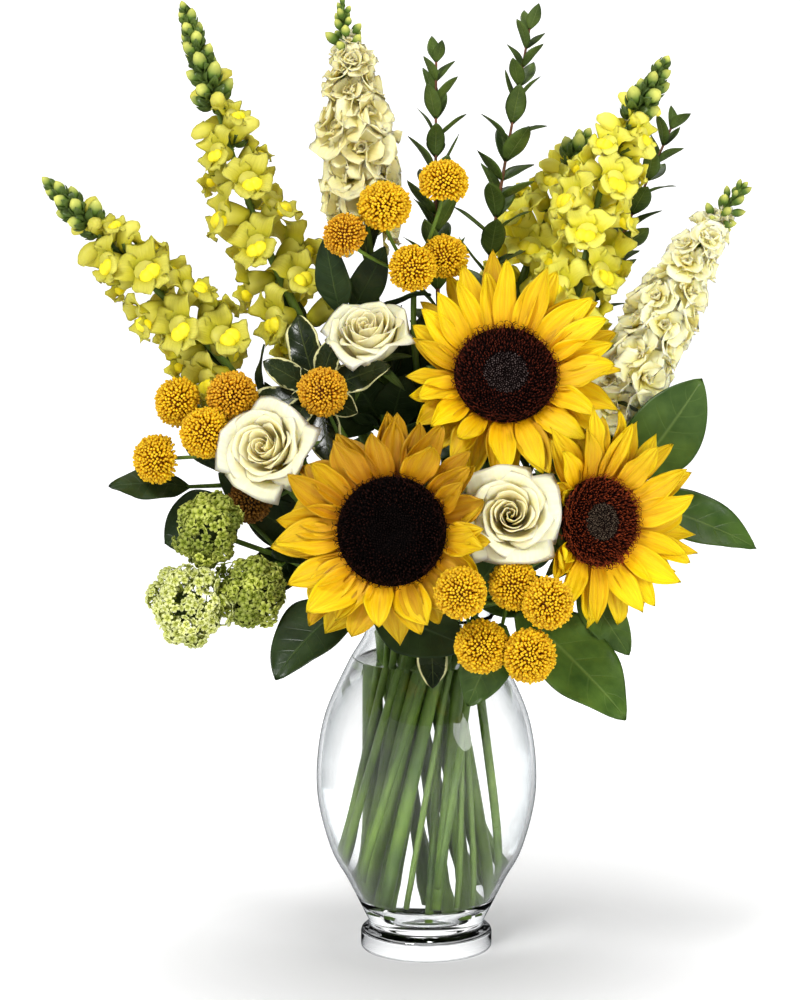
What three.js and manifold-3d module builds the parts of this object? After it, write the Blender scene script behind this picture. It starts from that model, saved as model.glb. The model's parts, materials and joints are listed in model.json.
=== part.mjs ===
// A clear glass vase of water with a mixed bouquet: three sunflowers, three roses, snapdragons, stock,
// sprays of button chrysanthemums, snowball viburnum and cut foliage. Millimetres, +Z up, seen from -Y.
// The origin is the centre of the vase's flat foot, on the surface that it stands on.
import * as THREE from "three";
import { mergeVertices } from "three/addons/utils/BufferGeometryUtils.js";
import Module from "manifold-3d";

const wasm = await Module();
wasm.setup();

// ---------------------------------------------------------------- driving dimensions
const RADIANS = Math.PI / 180;
const GOLDEN_ANGLE = 137.508; // degrees from one floret to the next round a stem
const GAP = 0.35; // clearance between pieces that touch
const SHORTEST_EDGE = 0.002; // what a union leaves shorter is closed up

const VASE = {
  height: 214,
  foot: 41,
  wall: 2.8,
  floor: 19,
  floorRadius: 22,
  footEdge: 2, // the foot's lower edge is bevelled
  footTop: 13,
  sides: 24,
  // outer profile, [radius, height], from the foot's top edge to the rim
  profile: [
    [36, 17.5],
    [49, 44],
    [60.5, 66],
    [68.5, 103],
    [64.5, 144],
    [50, 179],
    [38.6, 199],
    [39.5, 207],
    [43, 214],
  ],
};
const WATER_LEVEL = 184;

// The stems cross in one bundle just under the vase's neck. Each has a slot there: the radius of its
// ring, its angle in the ring, the height of its cut foot and how far the foot stands from the axis.
const BUNDLE = { waist: 168, neck: 203 };
const NECK_POINT = 3; // the point of a stem's line that is at the vase's neck
const RINGS = {
  outer: { radius: 26, footHeight: 50, footReach: 42 },
  middle: { radius: 17, footHeight: 34, footReach: 33 },
  inner: { radius: 7.5, footHeight: 24, footReach: 25 },
};

const SUNFLOWERS = [
  {
    name: "sunflower_top",
    at: [47, -36, 364],
    face: [0.02, -0.86, 0.5],
    disc: 31.5,
    petal: 43,
    slot: ["inner", 210],
    via: [[22, 6, 285]],
    pressed: [
      { from: -125, to: -65, lift: -16, keep: 0.9 },
      { from: 140, to: 205, lift: 0, keep: 0.74 },
    ],
    seed: 11,
  },
  {
    name: "sunflower_left",
    at: [-21, -95, 279],
    face: [-0.12, -0.96, 0.2],
    disc: 33,
    petal: 43,
    slot: ["outer", 168],
    via: [],
    pressed: [
      { from: -78, to: -26, lift: -28, keep: 0.74 },
      { from: -25, to: 35, lift: 3, keep: 0.62 },
    ],
    seed: 12,
  },
  {
    name: "sunflower_right",
    at: [101, -70, 281],
    face: [0.48, -0.86, 0.12],
    disc: 27,
    petal: 43,
    slot: ["middle", 254],
    via: [],
    pressed: [
      { from: 206, to: 252, lift: -30, keep: 0.85 },
      { from: 140, to: 205, lift: 0, keep: 0 },
      { from: 70, to: 130, lift: -10 },
    ],
    seed: 13,
  },
];
// Heights along the flower's axis are from the disc's underside. Petal width is for a disc of fullDisc.
const SUNFLOWER = {
  fullDisc: 33,
  dome: 6,
  seedTurns: 12,
  seedRelief: 1.6,
  discBase: -0.8,
  plate: { top: -1.2, bottom: -5.9 },
  petals: 20,
  petalWidth: 20,
  petalThick: 1.4,
  frontRow: { lift: 22, root: -2.9 },
  backRow: { lift: 2, root: -4.6 },
  rootDepth: 2.5,
  calyx: { top: -6.3, waist: -13, bottom: -23, waistShare: 0.62 },
  sepals: 8,
  sepal: { length: 21, width: 12, thick: 1.8, root: 0.7, height: -8.8 },
  stem: 4.6,
};

const ROSES = [
  {
    name: "rose_upper",
    at: [-36, -22, 387],
    face: [-0.1, -0.45, 0.88],
    slot: ["inner", 140],
    via: [],
    seed: 21,
  },
  {
    name: "rose_left",
    at: [-96, -60, 323],
    face: [-0.35, -0.85, 0.4],
    slot: ["middle", 146],
    via: [[-44, -14, 250]],
    seed: 22,
  },
  {
    name: "rose_centre",
    at: [49, -86, 287],
    face: [0, -0.95, 0.3],
    slot: ["middle", 225],
    via: [],
    seed: 23,
  },
];
const ROSE = {
  base: -21.6, // height of the petals' roots under the flower's middle
  petalThick: 1.2,
  petalOverlap: 1.4,
  hip: { radius: 5.5, gap: 1.4, shoulder: 3, bottom: 9 },
  sepals: 5,
  sepal: { length: 24, width: 7, thick: 1.6, root: 3.5, drop: 2.6 },
  stem: 3,
};
// The rings of a rose's open petals, from the heart out. Spread and first are in degrees.
const ROSE_RINGS = [
  { count: 3, reach: 14, flare: 3, height: 13, spread: 62, first: 40 },
  { count: 5, reach: 21, flare: 9, height: 8, spread: 46, first: 10 },
];

// A flower spike: its route, and the lengths of stem under its tip that carry buds and open florets.
const SNAPDRAGONS = [
  {
    name: "snapdragon_left",
    slot: ["middle", 88],
    route: [[-60, 14, 280], [-124, 4, 368], [-181, 0, 429], [-231, 10, 477]],
    buds: 48,
    blooms: 105,
    seed: 31,
  },
  {
    name: "snapdragon_upper_left",
    slot: ["middle", 50],
    route: [[-30, 25, 300], [-81, 24, 399], [-106, 30, 454], [-125, 35, 509], [-150, 40, 584]],
    buds: 75,
    blooms: 125,
    seed: 32,
  },
  {
    name: "snapdragon_right",
    slot: ["inner", 288],
    route: [[50, 8, 310], [91, 15, 406], [111, 25, 485], [146, 30, 551]],
    buds: 48,
    blooms: 125,
    seed: 33,
  },
  {
    name: "snapdragon_back",
    slot: ["middle", 338],
    route: [[40, 40, 320], [60, 76, 410], [76, 88, 449], [101, 94, 503]],
    buds: 24,
    blooms: 85,
    seed: 34,
  },
];
const SNAPDRAGON = {
  stem: 3.2,
  bud: { count: 6, tip: 3, slant: [30, 45], length: [9, 18], width: [5, 8.5] },
  floret: { count: 9, size: 30, smallest: 0.78, vary: 0.05, start: 4, turn: 40, slant: 66, lean: 6 },
  lobes: 5,
};

const STOCKS = [
  {
    name: "stock_top",
    slot: ["inner", 40],
    route: [[-22, 14, 330], [-38, 18, 455], [-44, 20, 516], [-52, 25, 586]],
    buds: 42,
    blooms: 100,
    seed: 41,
  },
  {
    name: "stock_right",
    slot: ["middle", 284],
    route: [[62, 8, 285], [121, -5, 355], [161, 0, 432], [192, 0, 477]],
    buds: 42,
    blooms: 125,
    seed: 42,
  },
];
const STOCK = {
  stem: 3.6,
  bud: { count: 6, tip: 2, slant: [26, 42], length: [11, 15], width: [5, 7] },
  floret: { count: 12, size: 18, smallest: 0.8, vary: 0.06, start: 2, turn: 20, slant: 72, lean: 0 },
  sectors: 6,
};

const MYRTLES = [
  {
    name: "myrtle_left",
    slot: ["middle", 20],
    route: [[10, 36, 330], [6, 47, 447], [6, 60, 551]],
    leafy: 150,
    seed: 51,
  },
  {
    name: "myrtle_middle",
    slot: ["middle", 0],
    route: [[28, 44, 330], [42, 50, 445], [64, 60, 571]],
    leafy: 175,
    seed: 52,
  },
  {
    name: "myrtle_right",
    slot: ["middle", 308],
    route: [[70, 27, 310], [109, 58, 409], [154, 74, 509]],
    leafy: 130,
    seed: 53,
  },
];
// Leaves stand in crossed pairs, a pitch apart along the stem.
const MYRTLE = { stem: 1.7, leaf: 31, leafWidth: 13, leafThick: 1.2, pitch: 17, tip: 4, slant: [30, 52] };

// Button chrysanthemum sprays: one stem that forks to its heads. A head is [x, y, z, radius, facing].
const BUTTONS = [
  {
    name: "button_front",
    slot: ["outer", 208],
    route: [[-2, -39, 219], [20, -62, 229]],
    heads: [
      [19, -115, 246, 14.5, [-0.1, -0.9, 0.4]],
      [51, -96, 247, 14, [0.1, -0.9, 0.3]],
      [71, -106, 238, 14.5, [0.4, -0.9, 0.1]],
      [32, -101, 211, 15, [0, -0.95, 0.2]],
      [60, -105, 206, 15, [0.3, -0.95, 0]],
    ],
  },
  {
    name: "button_left",
    slot: ["middle", 116],
    route: [[-60, -5, 262], [-105, -18, 315]],
    heads: [
      [-152, -20, 347, 14, [-0.8, -0.5, 0.3]],
      [-118, -30, 352, 14.5, [0.1, -0.7, 0.7]],
      [-134, -42, 331, 14.5, [-0.2, -0.9, 0.3]],
      [-165, -30, 313, 14, [-0.9, -0.4, 0]],
    ],
  },
  {
    name: "button_top",
    slot: ["middle", 200],
    route: [[-4, 8, 330], [-8, 9, 385], [-8, 8, 420]],
    heads: [
      [-26, -16, 466, 15, [0, -0.5, 0.85]],
      [10, -10, 480, 14, [0.1, -0.2, 0.95]],
      [-9, -24, 429, 13.5, [-0.2, -0.8, 0.6]],
      [11, -2, 434, 13.5, [0.3, -0.4, 0.85]],
      [-50, -22, 449, 12.5, [-0.5, -0.5, 0.7]],
    ],
  },
  {
    name: "button_centre",
    slot: ["middle", 175],
    route: [[-21, -4, 228], [-34, -18, 268], [-48, -34, 315]],
    heads: [
      [-63, -52, 357, 14, [0, -0.9, 0.4]],
      [-108, -24, 287, 13, [-0.7, -0.7, 0.2]],
    ],
  },
];
const BUTTON = { stem: 2.2, twig: 1.3, sectors: 10, rings: 5, relief: 0.14, flatness: 0.8, neck: 9 };

// Snowball viburnum: a head is [x, y, z, radius]; a leaf is [base, tip, width, the way its face looks].
const VIBURNUM = {
  name: "viburnum",
  slot: ["outer", 118],
  stem: 2.4,
  twig: 1.7,
  sectors: 12,
  rings: 6,
  relief: 0.24,
  flatness: 0.95,
  route: [[-52, -8, 232], [-86, -20, 250]],
  heads: [
    [-132, -45, 271, 21],
    [-144, -62, 228, 24],
    [-105, -60, 238, 21],
  ],
  leaves: [
    [[-116, -14, 282], [-158, -14, 256], 44, [0, -1, 0.2]],
  ],
};

// Leafy stems. A leaf is [base, tip, width, the way its upper face looks].
const LEAF_STEMS = [
  {
    name: "leaves_left",
    slot: ["outer", 96],
    route: [[-68, 8, 252], [-124, 4, 292]],
    leaves: [
      [[-146, -10, 293], [-194, -26, 296], 21, [0, -0.6, 1]],
      [[-124, 6, 300], [-140, 10, 354], 40, [-0.2, -1, 0]],
    ],
  },
  {
    name: "leaves_front_left",
    slot: ["outer", 138],
    route: [[-35, -8, 219], [-40, -38, 232]],
    leaves: [
      [[-42, -48, 231], [-91, -88, 187], 46, [-0.3, -0.6, 0.8]],
      [[-34, -58, 226], [24, -68, 205], 40, [0, -1, 0.25]],
    ],
  },
  {
    name: "leaves_front_right",
    slot: ["outer", 228],
    route: [[18, -34, 219], [48, -50, 229]],
    leaves: [
      [[54, -54, 225], [117, -82, 163], 52, [0.3, -0.8, 0.5]],
      [[46, -62, 217], [22, -72, 171], 32, [0.1, -1, 0.2]],
      [[92, -46, 240], [120, -58, 197], 26, [0.2, -1, 0.2]],
    ],
  },
  {
    name: "leaves_right",
    slot: ["outer", 262],
    route: [[48, -12, 235], [106, 2, 268], [122, 0, 292]],
    leaves: [
      [[124, -16, 299], [167, -24, 360], 46, [0.3, -1, 0.2]],
      [[128, 0, 284], [199, -18, 252], 38, [0.2, -0.8, 0.6]],
    ],
  },
  {
    name: "leaves_upper",
    slot: ["inner", 345],
    route: [[-22, 26, 320], [-52, 10, 388]],
    leaves: [
      [[-53, 6, 398], [-60, -4, 446], 22, [-0.2, -1, 0.2]],
      [[-46, 14, 399], [-24, 4, 438], 22, [0.2, -1, 0.3]],
    ],
  },
  {
    name: "leaves_back_right",
    slot: ["outer", 330],
    route: [[50, 45, 250], [78, 72, 300]],
    leaves: [
      [[50, 52, 250], [70, 112, 218], 46, [0.2, 0.6, 0.8]],
      [[80, 76, 305], [108, 92, 372], 44, [0.3, 1, 0]],
    ],
  },
  {
    name: "leaves_back_left",
    slot: ["outer", 30],
    route: [[-22, 55, 250], [-55, 78, 300]],
    leaves: [
      [[-20, 60, 250], [-36, 118, 216], 46, [-0.2, 0.6, 0.8]],
      [[-58, 80, 304], [-84, 92, 372], 44, [-0.3, 1, 0]],
    ],
  },
];
const LEAF_STEM = { radius: 2.2, petiole: 1.3, leafThick: 1.8, rootShare: 0.1 };

// Variegated sprigs end in a whorl of narrow leaves.
const VARIEGATED = [
  {
    name: "variegated_left",
    slot: ["inner", 92],
    route: [[-26, 13, 262], [-42, 6, 306], [-66, -14, 352]],
    face: [-0.35, -0.75, 0.5],
    turn: 20,
    leaf: 42,
    leaves: 7,
  },
  {
    name: "variegated_front",
    slot: ["outer", 189],
    route: [[-10, -36, 222], [2, -49, 220]],
    face: [0, -1, 0],
    turn: 272,
    leaf: 44,
    leaves: 2,
  },
];
const VARIEGATED_SPRIG = { stem: 1.7, leafWidth: 16, leafThick: 1.4, small: 0.75, lift: [0.35, 0.7] };

const LOOKS = {
  glass: { color: 0xe9f2f1, roughness: 0.04, metalness: 0, transparent: true, opacity: 0.3 },
  water: { color: 0xf2f8f6, roughness: 0.02, metalness: 0, transparent: true, opacity: 0.25 },
  petal: { color: 0xf6b40c, roughness: 0.6, metalness: 0 },
  seed: { color: 0x2a100b, roughness: 0.9, metalness: 0 },
  stem: { color: 0x4d7a2b, roughness: 0.55, metalness: 0 },
  cream: { color: 0xeeeac4, roughness: 0.6, metalness: 0 },
  lemon: { color: 0xd9d33a, roughness: 0.6, metalness: 0 },
  button: { color: 0xe9b013, roughness: 0.75, metalness: 0 },
  lime: { color: 0xa9bf4d, roughness: 0.75, metalness: 0 },
  leaf: { color: 0x2f5327, roughness: 0.45, metalness: 0 },
};

// ---------------------------------------------------------------- small tools
const { lerp } = THREE.MathUtils;
const vector = (p) => new THREE.Vector3(...p);
const material = (look) => new THREE.MeshStandardMaterial(LOOKS[look]);

// A random source that gives the same numbers each time for the same seed (mulberry32).
function seeded(seed) {
  let state = seed;
  return () => {
    state = (state + 0x6d2b79f5) | 0;
    let t = Math.imul(state ^ (state >>> 15), 1 | state);
    t = (t + Math.imul(t ^ (t >>> 7), 61 | t)) ^ t;
    return ((t ^ (t >>> 14)) >>> 0) / 4294967296;
  };
}
const jitter = (random, spread) => (random() * 2 - 1) * spread;

// A closed geometry as a solid, placed by the matrix, with its faces turned outwards.
function solidOf(geometry, matrix) {
  const bare = geometry.index ? geometry.toNonIndexed() : geometry.clone();
  const plain = new THREE.BufferGeometry().setAttribute("position", bare.getAttribute("position"));
  if (matrix) plain.applyMatrix4(matrix);
  const merged = mergeVertices(plain, 1e-4);
  const vertProperties = merged.attributes.position.array;
  const triVerts = new Uint32Array(merged.index.array);
  const made = new wasm.Manifold(new wasm.Mesh({ numProp: 3, vertProperties, triVerts }));
  if (made.volume() > 0) return made;
  for (let i = 0; i < triVerts.length; i += 3) {
    [triVerts[i + 1], triVerts[i + 2]] = [triVerts[i + 2], triVerts[i + 1]];
  }
  return new wasm.Manifold(new wasm.Mesh({ numProp: 3, vertProperties, triVerts }));
}

const fuse = (solids) => wasm.Manifold.union(solids);

// The largest of a solid's loose bodies: a scrap that a union leaves behind is dropped.
function largestBody(solid) {
  return solid.decompose().reduce((most, body) => (body.volume() > most.volume() ? body : most));
}

// A solid's surface as a geometry.
function geometryOf(solid) {
  const { vertProperties, triVerts, numProp, numVert } = solid.getMesh();
  const positions = new Float32Array(numVert * 3);
  for (let i = 0; i < numVert; i++) {
    positions.set(vertProperties.subarray(i * numProp, i * numProp + 3), i * 3);
  }
  const geometry = new THREE.BufferGeometry();
  geometry.setAttribute("position", new THREE.BufferAttribute(positions, 3));
  geometry.setIndex(new THREE.BufferAttribute(triVerts, 1));
  geometry.computeVertexNormals();
  return geometry;
}

const bouquet = new THREE.Group();
function addNode(name, solid, look, parent = bouquet) {
  const body = largestBody(solid).simplify(SHORTEST_EDGE);
  const mesh = new THREE.Mesh(geometryOf(body), material(look));
  mesh.name = name;
  parent.add(mesh);
}

// A frame at origin whose X runs along x and whose Z is as near to z as it can be.
function frameAt(origin, x, z) {
  const ex = x.clone().normalize();
  const ez = z.clone().addScaledVector(ex, -z.dot(ex)).normalize();
  const ey = new THREE.Vector3().crossVectors(ez, ex);
  return new THREE.Matrix4().makeBasis(ex, ey, ez).setPosition(origin);
}

// A flower head's own frame: Z looks out of the flower, Y is as near upright as it can be.
function headFrame(at, face) {
  const ez = vector(face).normalize();
  const ex = new THREE.Vector3(0, 0, 1).cross(ez).normalize();
  return new THREE.Matrix4().makeBasis(ex, ez.clone().cross(ex), ez).setPosition(vector(at));
}

// A group in the bouquet that holds what is made in a flower head's own frame.
function headGroup(frame) {
  const group = new THREE.Group();
  group.applyMatrix4(frame);
  bouquet.add(group);
  return group;
}

const turned = (degrees) => new THREE.Matrix4().makeRotationZ(degrees * RADIANS);
const moved = (x, y, z) => new THREE.Matrix4().makeTranslation(x, y, z);
const chain = (...matrices) => matrices.reduce((all, next) => all.multiply(next), new THREE.Matrix4());

// Half-width of a leaf or petal along its length, as a share of the widest.
function outline(root, fullness, peak = 1) {
  return (t) => Math.sin(Math.PI * (root + (1 - root) * t ** peak)) ** fullness;
}

// A cone's point as [share of the way to the tip, its place from side to side, and from back to face].
function conePlace(points, i) {
  const t = points.getY(i) + 0.5;
  if (t > 0.999) return [t, 0, 0];
  return [t, points.getX(i) / (1 - t), points.getZ(i) / (1 - t)];
}

// A leaf or petal: a cone's sides laid flat round a curved midrib, along X, with its upper face to +Z.
// lift and curl are the midrib's first slope and its change of slope; cup raises the two edges.
// Three sides are enough for a narrow one. A broad one has four, so that its raised edges leave it a body.
function blade({ length, width, thick, sides = 3, steps = 3, shape, lift = 0, curl = 0, cup = 0 }) {
  const geometry = new THREE.ConeGeometry(1, 1, sides, steps);
  const points = geometry.getAttribute("position");
  const bend = Math.abs(curl) < 1e-4 ? 1e-4 : curl;
  for (let i = 0; i < points.count; i++) {
    const [t, side, face] = conePlace(points, i);
    const slope = lift + bend * t;
    const half = (width / 2) * shape(t);
    const rise = (face * thick) / 2 + cup * half * side * side;
    const x = (length * (Math.sin(slope) - Math.sin(lift))) / bend - Math.sin(slope) * rise;
    const z = (length * (Math.cos(lift) - Math.cos(slope))) / bend + Math.cos(slope) * rise;
    points.setXYZ(i, x, side * half, z);
  }
  return geometry;
}

// ---------------------------------------------------------------- stems
const vaseCurve = new THREE.SplineCurve(VASE.profile.map(([r, z]) => new THREE.Vector2(r, z)));

// The points that a stem follows from its cut foot, through the bundle, to the given points.
function stemPoints([ring, angle], onward) {
  const { radius, footHeight, footReach } = RINGS[ring];
  const a = angle * RADIANS;
  const waist = new THREE.Vector3(radius * Math.cos(a), radius * Math.sin(a), BUNDLE.waist);
  const drift = Math.sqrt(footReach ** 2 - radius ** 2) / (BUNDLE.waist - footHeight);
  const rise = new THREE.Vector3(-Math.sin(a) * drift, Math.cos(a) * drift, 1);
  const at = (height) => waist.clone().addScaledVector(rise, height - BUNDLE.waist);
  return [at(footHeight), at((footHeight + BUNDLE.waist) / 2), waist, at(BUNDLE.neck), ...onward.map(vector)];
}

// A round bar through the given points, one ring of corners at each.
function tube(points, radius, sides = 5) {
  const extrudePath = new THREE.CatmullRomCurve3(points, false, "centripetal");
  extrudePath.getUtoTmapping = (share) => share;
  const corners = Array.from({ length: sides }, (_, i) => {
    const a = (i * 2 * Math.PI) / sides;
    return new THREE.Vector2(radius * Math.cos(a), radius * Math.sin(a));
  });
  const steps = points.length - 1;
  return new THREE.ExtrudeGeometry(new THREE.Shape(corners), { steps, extrudePath, bevelEnabled: false });
}

// A stem is straight from its foot to the vase's neck, and curved from there in the given steps.
const bores = []; // each stem's hole in the water
function stem(slot, onward, radius, steps = 6) {
  const points = stemPoints(slot, onward);
  const sides = radius < 2.5 ? 4 : 5;
  const curve = new THREE.CatmullRomCurve3(points, false, "centripetal");
  const neck = NECK_POINT / (points.length - 1);
  const rings = [points[0]];
  for (let i = 0; i <= steps; i++) rings.push(curve.getPoint(lerp(neck, 1, i / steps)));
  const below = points[0].clone().lerp(points[NECK_POINT], -0.003);
  bores.push(solidOf(tube([below, points[NECK_POINT]], radius + GAP * 1.5, sides)));
  return { solid: solidOf(tube(rings, radius, sides)), curve };
}

// ---------------------------------------------------------------- vase and water
const profilePoints = (pairs) => pairs.map(([r, z]) => new THREE.Vector2(r, z));
const lathe = (pairs, sides) => new THREE.LatheGeometry(profilePoints(pairs), sides).rotateX(Math.PI / 2);

// The vase's wall at a radius inwards of its outer side, between two heights.
function wallLine(inset, from, to, count) {
  const line = vaseCurve.getPoints(48).filter((p) => p.y > from && p.y < to);
  return Array.from({ length: count }, (_, i) => {
    const p = line[Math.round((i * (line.length - 1)) / (count - 1))];
    return [p.x - inset, p.y];
  });
}

const innerWall = wallLine(VASE.wall, VASE.floor + 3, VASE.height + 1, 8);

function vaseSolid() {
  const { foot, footEdge, footTop, floor, floorRadius, sides } = VASE;
  const outer = wallLine(0, 0, VASE.height + 1, 9);
  const base = [[0, 0], [foot - footEdge, 0], [foot, footEdge], [foot, footTop]];
  const inside = [...innerWall.toReversed(), [floorRadius, floor], [0, floor]];
  return solidOf(lathe([...base, ...outer, ...inside], sides));
}

// The water fills the vase to its level, a gap inside the wall, round the stems.
function waterSolid() {
  const above = innerWall.findIndex(([, z]) => z > WATER_LEVEL);
  const [[r0, z0], [r1, z1]] = innerWall.slice(above - 1, above + 1);
  const edge = THREE.MathUtils.mapLinear(WATER_LEVEL, z0, z1, r0, r1);
  const bottom = VASE.floor + GAP;
  const wall = [[VASE.floorRadius, bottom], ...innerWall.slice(0, above), [edge, WATER_LEVEL]];
  const side = wall.map(([r, z]) => [r - GAP * 1.5, z]);
  const body = solidOf(lathe([[0, bottom], ...side, [0, WATER_LEVEL]], VASE.sides));
  return bores.reduce((water, bore) => water.subtract(bore), body);
}

// ---------------------------------------------------------------- sunflowers
// A disc's face: rings of seeds raised and sunk in turn, over a flat underside.
function seedDisc(radius) {
  const { dome, discBase, seedTurns: turns, seedRelief } = SUNFLOWER;
  const under = [[0, discBase], [radius, discBase], [radius - 1, dome * 0.5]];
  const over = [[radius * 0.62, dome], [radius * 0.3, dome * 0.7], [0, dome * 0.4]];
  const geometry = lathe([...under, ...over], turns);
  const points = geometry.getAttribute("position");
  for (let i = 0; i < points.count; i++) {
    const turn = Math.round((Math.atan2(points.getY(i), points.getX(i)) / (2 * Math.PI)) * turns);
    const reach = Math.hypot(points.getX(i), points.getY(i));
    if (points.getZ(i) > 0 && reach > 1 && turn % 2) points.setZ(i, points.getZ(i) + seedRelief);
  }
  return geometry;
}

// Extra slope and share of length kept by a petal where a neighbour presses it; none is left at 0.
function pressure(pressed, angle) {
  let lift = 0;
  let keep = 1;
  for (const { from, to, lift: more, keep: share = 1 } of pressed) {
    if ((angle - from + 720) % 360 <= (to - from + 720) % 360) {
      lift += more * RADIANS;
      keep *= share;
    }
  }
  return { lift, keep };
}

// The ray petals, in a front and a back row, on the plate that holds them.
function sunflowerPetals({ disc, petal, seed, pressed }) {
  const random = seeded(seed);
  const { plate, petals, frontRow, backRow, rootDepth } = SUNFLOWER;
  const ring = [[0, plate.bottom], [disc, plate.bottom], [disc, plate.top], [0, plate.top]];
  const parts = [solidOf(lathe(ring, petals / 2))];
  for (let i = 0; i < petals; i++) {
    const row = i % 2 === 0 ? frontRow : backRow;
    const angle = (360 * i) / petals + jitter(random, 2.5);
    const { lift, keep } = pressure(pressed, angle);
    if (!keep) continue;
    const geometry = blade({
      length: petal * keep * (1 + jitter(random, 0.1)),
      width: SUNFLOWER.petalWidth * (disc / SUNFLOWER.fullDisc),
      thick: SUNFLOWER.petalThick,
      shape: outline(0.14, 0.8),
      lift: row.lift * RADIANS + jitter(random, 0.08) + lift,
      curl: -0.3 + jitter(random, 0.2),
      cup: 0.1,
    });
    parts.push(solidOf(geometry, chain(turned(angle), moved(disc - rootDepth, 0, row.root))));
  }
  return fuse(parts);
}

// The green cup behind the petals, with its sepals.
function sunflowerCalyx({ disc, pressed }, frame) {
  const { calyx, sepals, sepal } = SUNFLOWER;
  const cup = [[0, calyx.top], [disc, calyx.top], [disc * calyx.waistShare, calyx.waist]];
  const foot = [[SUNFLOWER.stem, calyx.bottom], [0, calyx.bottom]];
  const parts = [solidOf(lathe([...cup, ...foot], sepals), frame)];
  for (let i = 0; i < sepals; i++) {
    const angle = (360 * (i + 0.5)) / sepals;
    const { lift, keep } = pressure(pressed, angle);
    if (!keep) continue;
    const geometry = blade({ ...sepal, steps: 2, shape: outline(0.3, 0.8), lift: lift - 0.5, curl: 0.3 });
    const place = chain(frame.clone(), turned(angle), moved(disc * sepal.root, 0, sepal.height));
    parts.push(solidOf(geometry, place));
  }
  return fuse(parts);
}

// Two points on the axis behind a flower, by which its stem comes straight into it.
function behindHead(at, face, ...distances) {
  const n = vector(face).normalize();
  return distances.map((distance) => vector(at).addScaledVector(n, -distance).toArray());
}

function addSunflower(flower) {
  const { name, at, face, disc, slot, via } = flower;
  const frame = headFrame(at, face);
  const head = headGroup(frame);
  addNode(`${name}_petals`, sunflowerPetals(flower), "petal", head);
  addNode(`${name}_disc`, solidOf(seedDisc(disc)), "seed", head);
  const made = stem(slot, [...via, ...behindHead(at, face, 52, 18)], SUNFLOWER.stem);
  addNode(`${name}_stem`, fuse([sunflowerCalyx(flower, frame), made.solid]), "stem");
}

// ---------------------------------------------------------------- roses
// One petal of a rose, wrapped round the flower's axis from its base out to a flared, pointed edge. One of
// its sides lies further out than the other, so that a ring of petals overlaps without crossing.
function rosePetal({ turn, reach, flare, height, spread }) {
  const { base, stem: root, petalThick, petalOverlap } = ROSE;
  const geometry = new THREE.ConeGeometry(1, 1, 4, 3);
  const points = geometry.getAttribute("position");
  const widest = outline(0.2, 0.6);
  for (let i = 0; i < points.count; i++) {
    const [t, side, face] = conePlace(points, i);
    const along = 1 - (1 - t) ** 1.5;
    const bulge = Math.sin((Math.PI / 2) * Math.min(1, along * 1.5));
    const wall = root + (reach - root) * bulge + flare * Math.max(0, along - 0.55) * 2.2;
    const radius = wall + (face * petalThick) / 2 + side * petalOverlap * bulge;
    const a = (turn + side * spread * widest(t)) * RADIANS;
    points.setXYZ(i, radius * Math.cos(a), radius * Math.sin(a), lerp(base, height, along));
  }
  return geometry;
}

// A rose's rolled heart: a bud whose corners wind round it on the way up.
function roseHeart() {
  const { base } = ROSE;
  const profile = [[0, base - 1], [6, base], [9, -7], [8.5, 6], [5, 12], [2.5, 10], [0, 5]];
  const geometry = lathe(profile, ROSE.sepals);
  const points = geometry.getAttribute("position");
  for (let i = 0; i < points.count; i++) {
    const wind = (points.getZ(i) - base) * 0.05;
    const at = new THREE.Vector2(points.getX(i), points.getY(i)).rotateAround(new THREE.Vector2(), wind);
    points.setXY(i, at.x, at.y);
  }
  return geometry;
}

// The hip under a rose, with its sepals.
function roseHip(frame) {
  const { base, hip, sepals, sepal } = ROSE;
  const top = base - hip.gap;
  const neck = [[ROSE.stem, top - hip.bottom], [0, top - hip.bottom]];
  const profile = [[0, top], [hip.radius - 0.5, top], [hip.radius, top - hip.shoulder], ...neck];
  const parts = [solidOf(lathe(profile, sepals), frame)];
  for (let i = 0; i < sepals; i++) {
    const geometry = blade({ ...sepal, steps: 2, shape: outline(0.3, 0.8), lift: -0.25, curl: 0.15 });
    const angle = (360 * (i + 0.5)) / sepals;
    const place = chain(frame.clone(), turned(angle), moved(sepal.root, 0, top - sepal.drop));
    parts.push(solidOf(geometry, place));
  }
  return fuse(parts);
}

function addRose({ name, at, face, slot, via, seed }) {
  const random = seeded(seed);
  const frame = headFrame(at, face);
  const petals = [solidOf(roseHeart())];
  for (const { count, first, ...petal } of ROSE_RINGS) {
    for (let i = 0; i < count; i++) {
      const turn = first + (360 * i) / count + jitter(random, 4);
      petals.push(solidOf(rosePetal({ ...petal, turn })));
    }
  }
  addNode(`${name}_bloom`, fuse(petals), "cream", headGroup(frame));
  const made = stem(slot, [...via, ...behindHead(at, face, 58, 28)], ROSE.stem);
  addNode(`${name}_stem`, fuse([roseHip(frame), made.solid]), "stem");
}

// ---------------------------------------------------------------- what grows along a stem
// A frame on a stem, a distance back from its tip: X leaves the stem at a slant from its way up, towards
// the given turn round the stem, and Z is the side that looks to the stem's tip.
function frameOnStem(curve, fromTip, turn, slant) {
  const length = curve.getLength();
  const u = Math.max(0, 1 - fromTip / length);
  const point = curve.getPointAt(u);
  const up = curve.getTangentAt(u);
  const side = new THREE.Vector3(0, -1, 0).addScaledVector(up, up.y).normalize();
  const out = side.applyAxisAngle(up, turn * RADIANS);
  const x = up.clone().multiplyScalar(Math.cos(slant * RADIANS));
  x.addScaledVector(out, Math.sin(slant * RADIANS));
  return frameAt(point, x, up);
}

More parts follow.
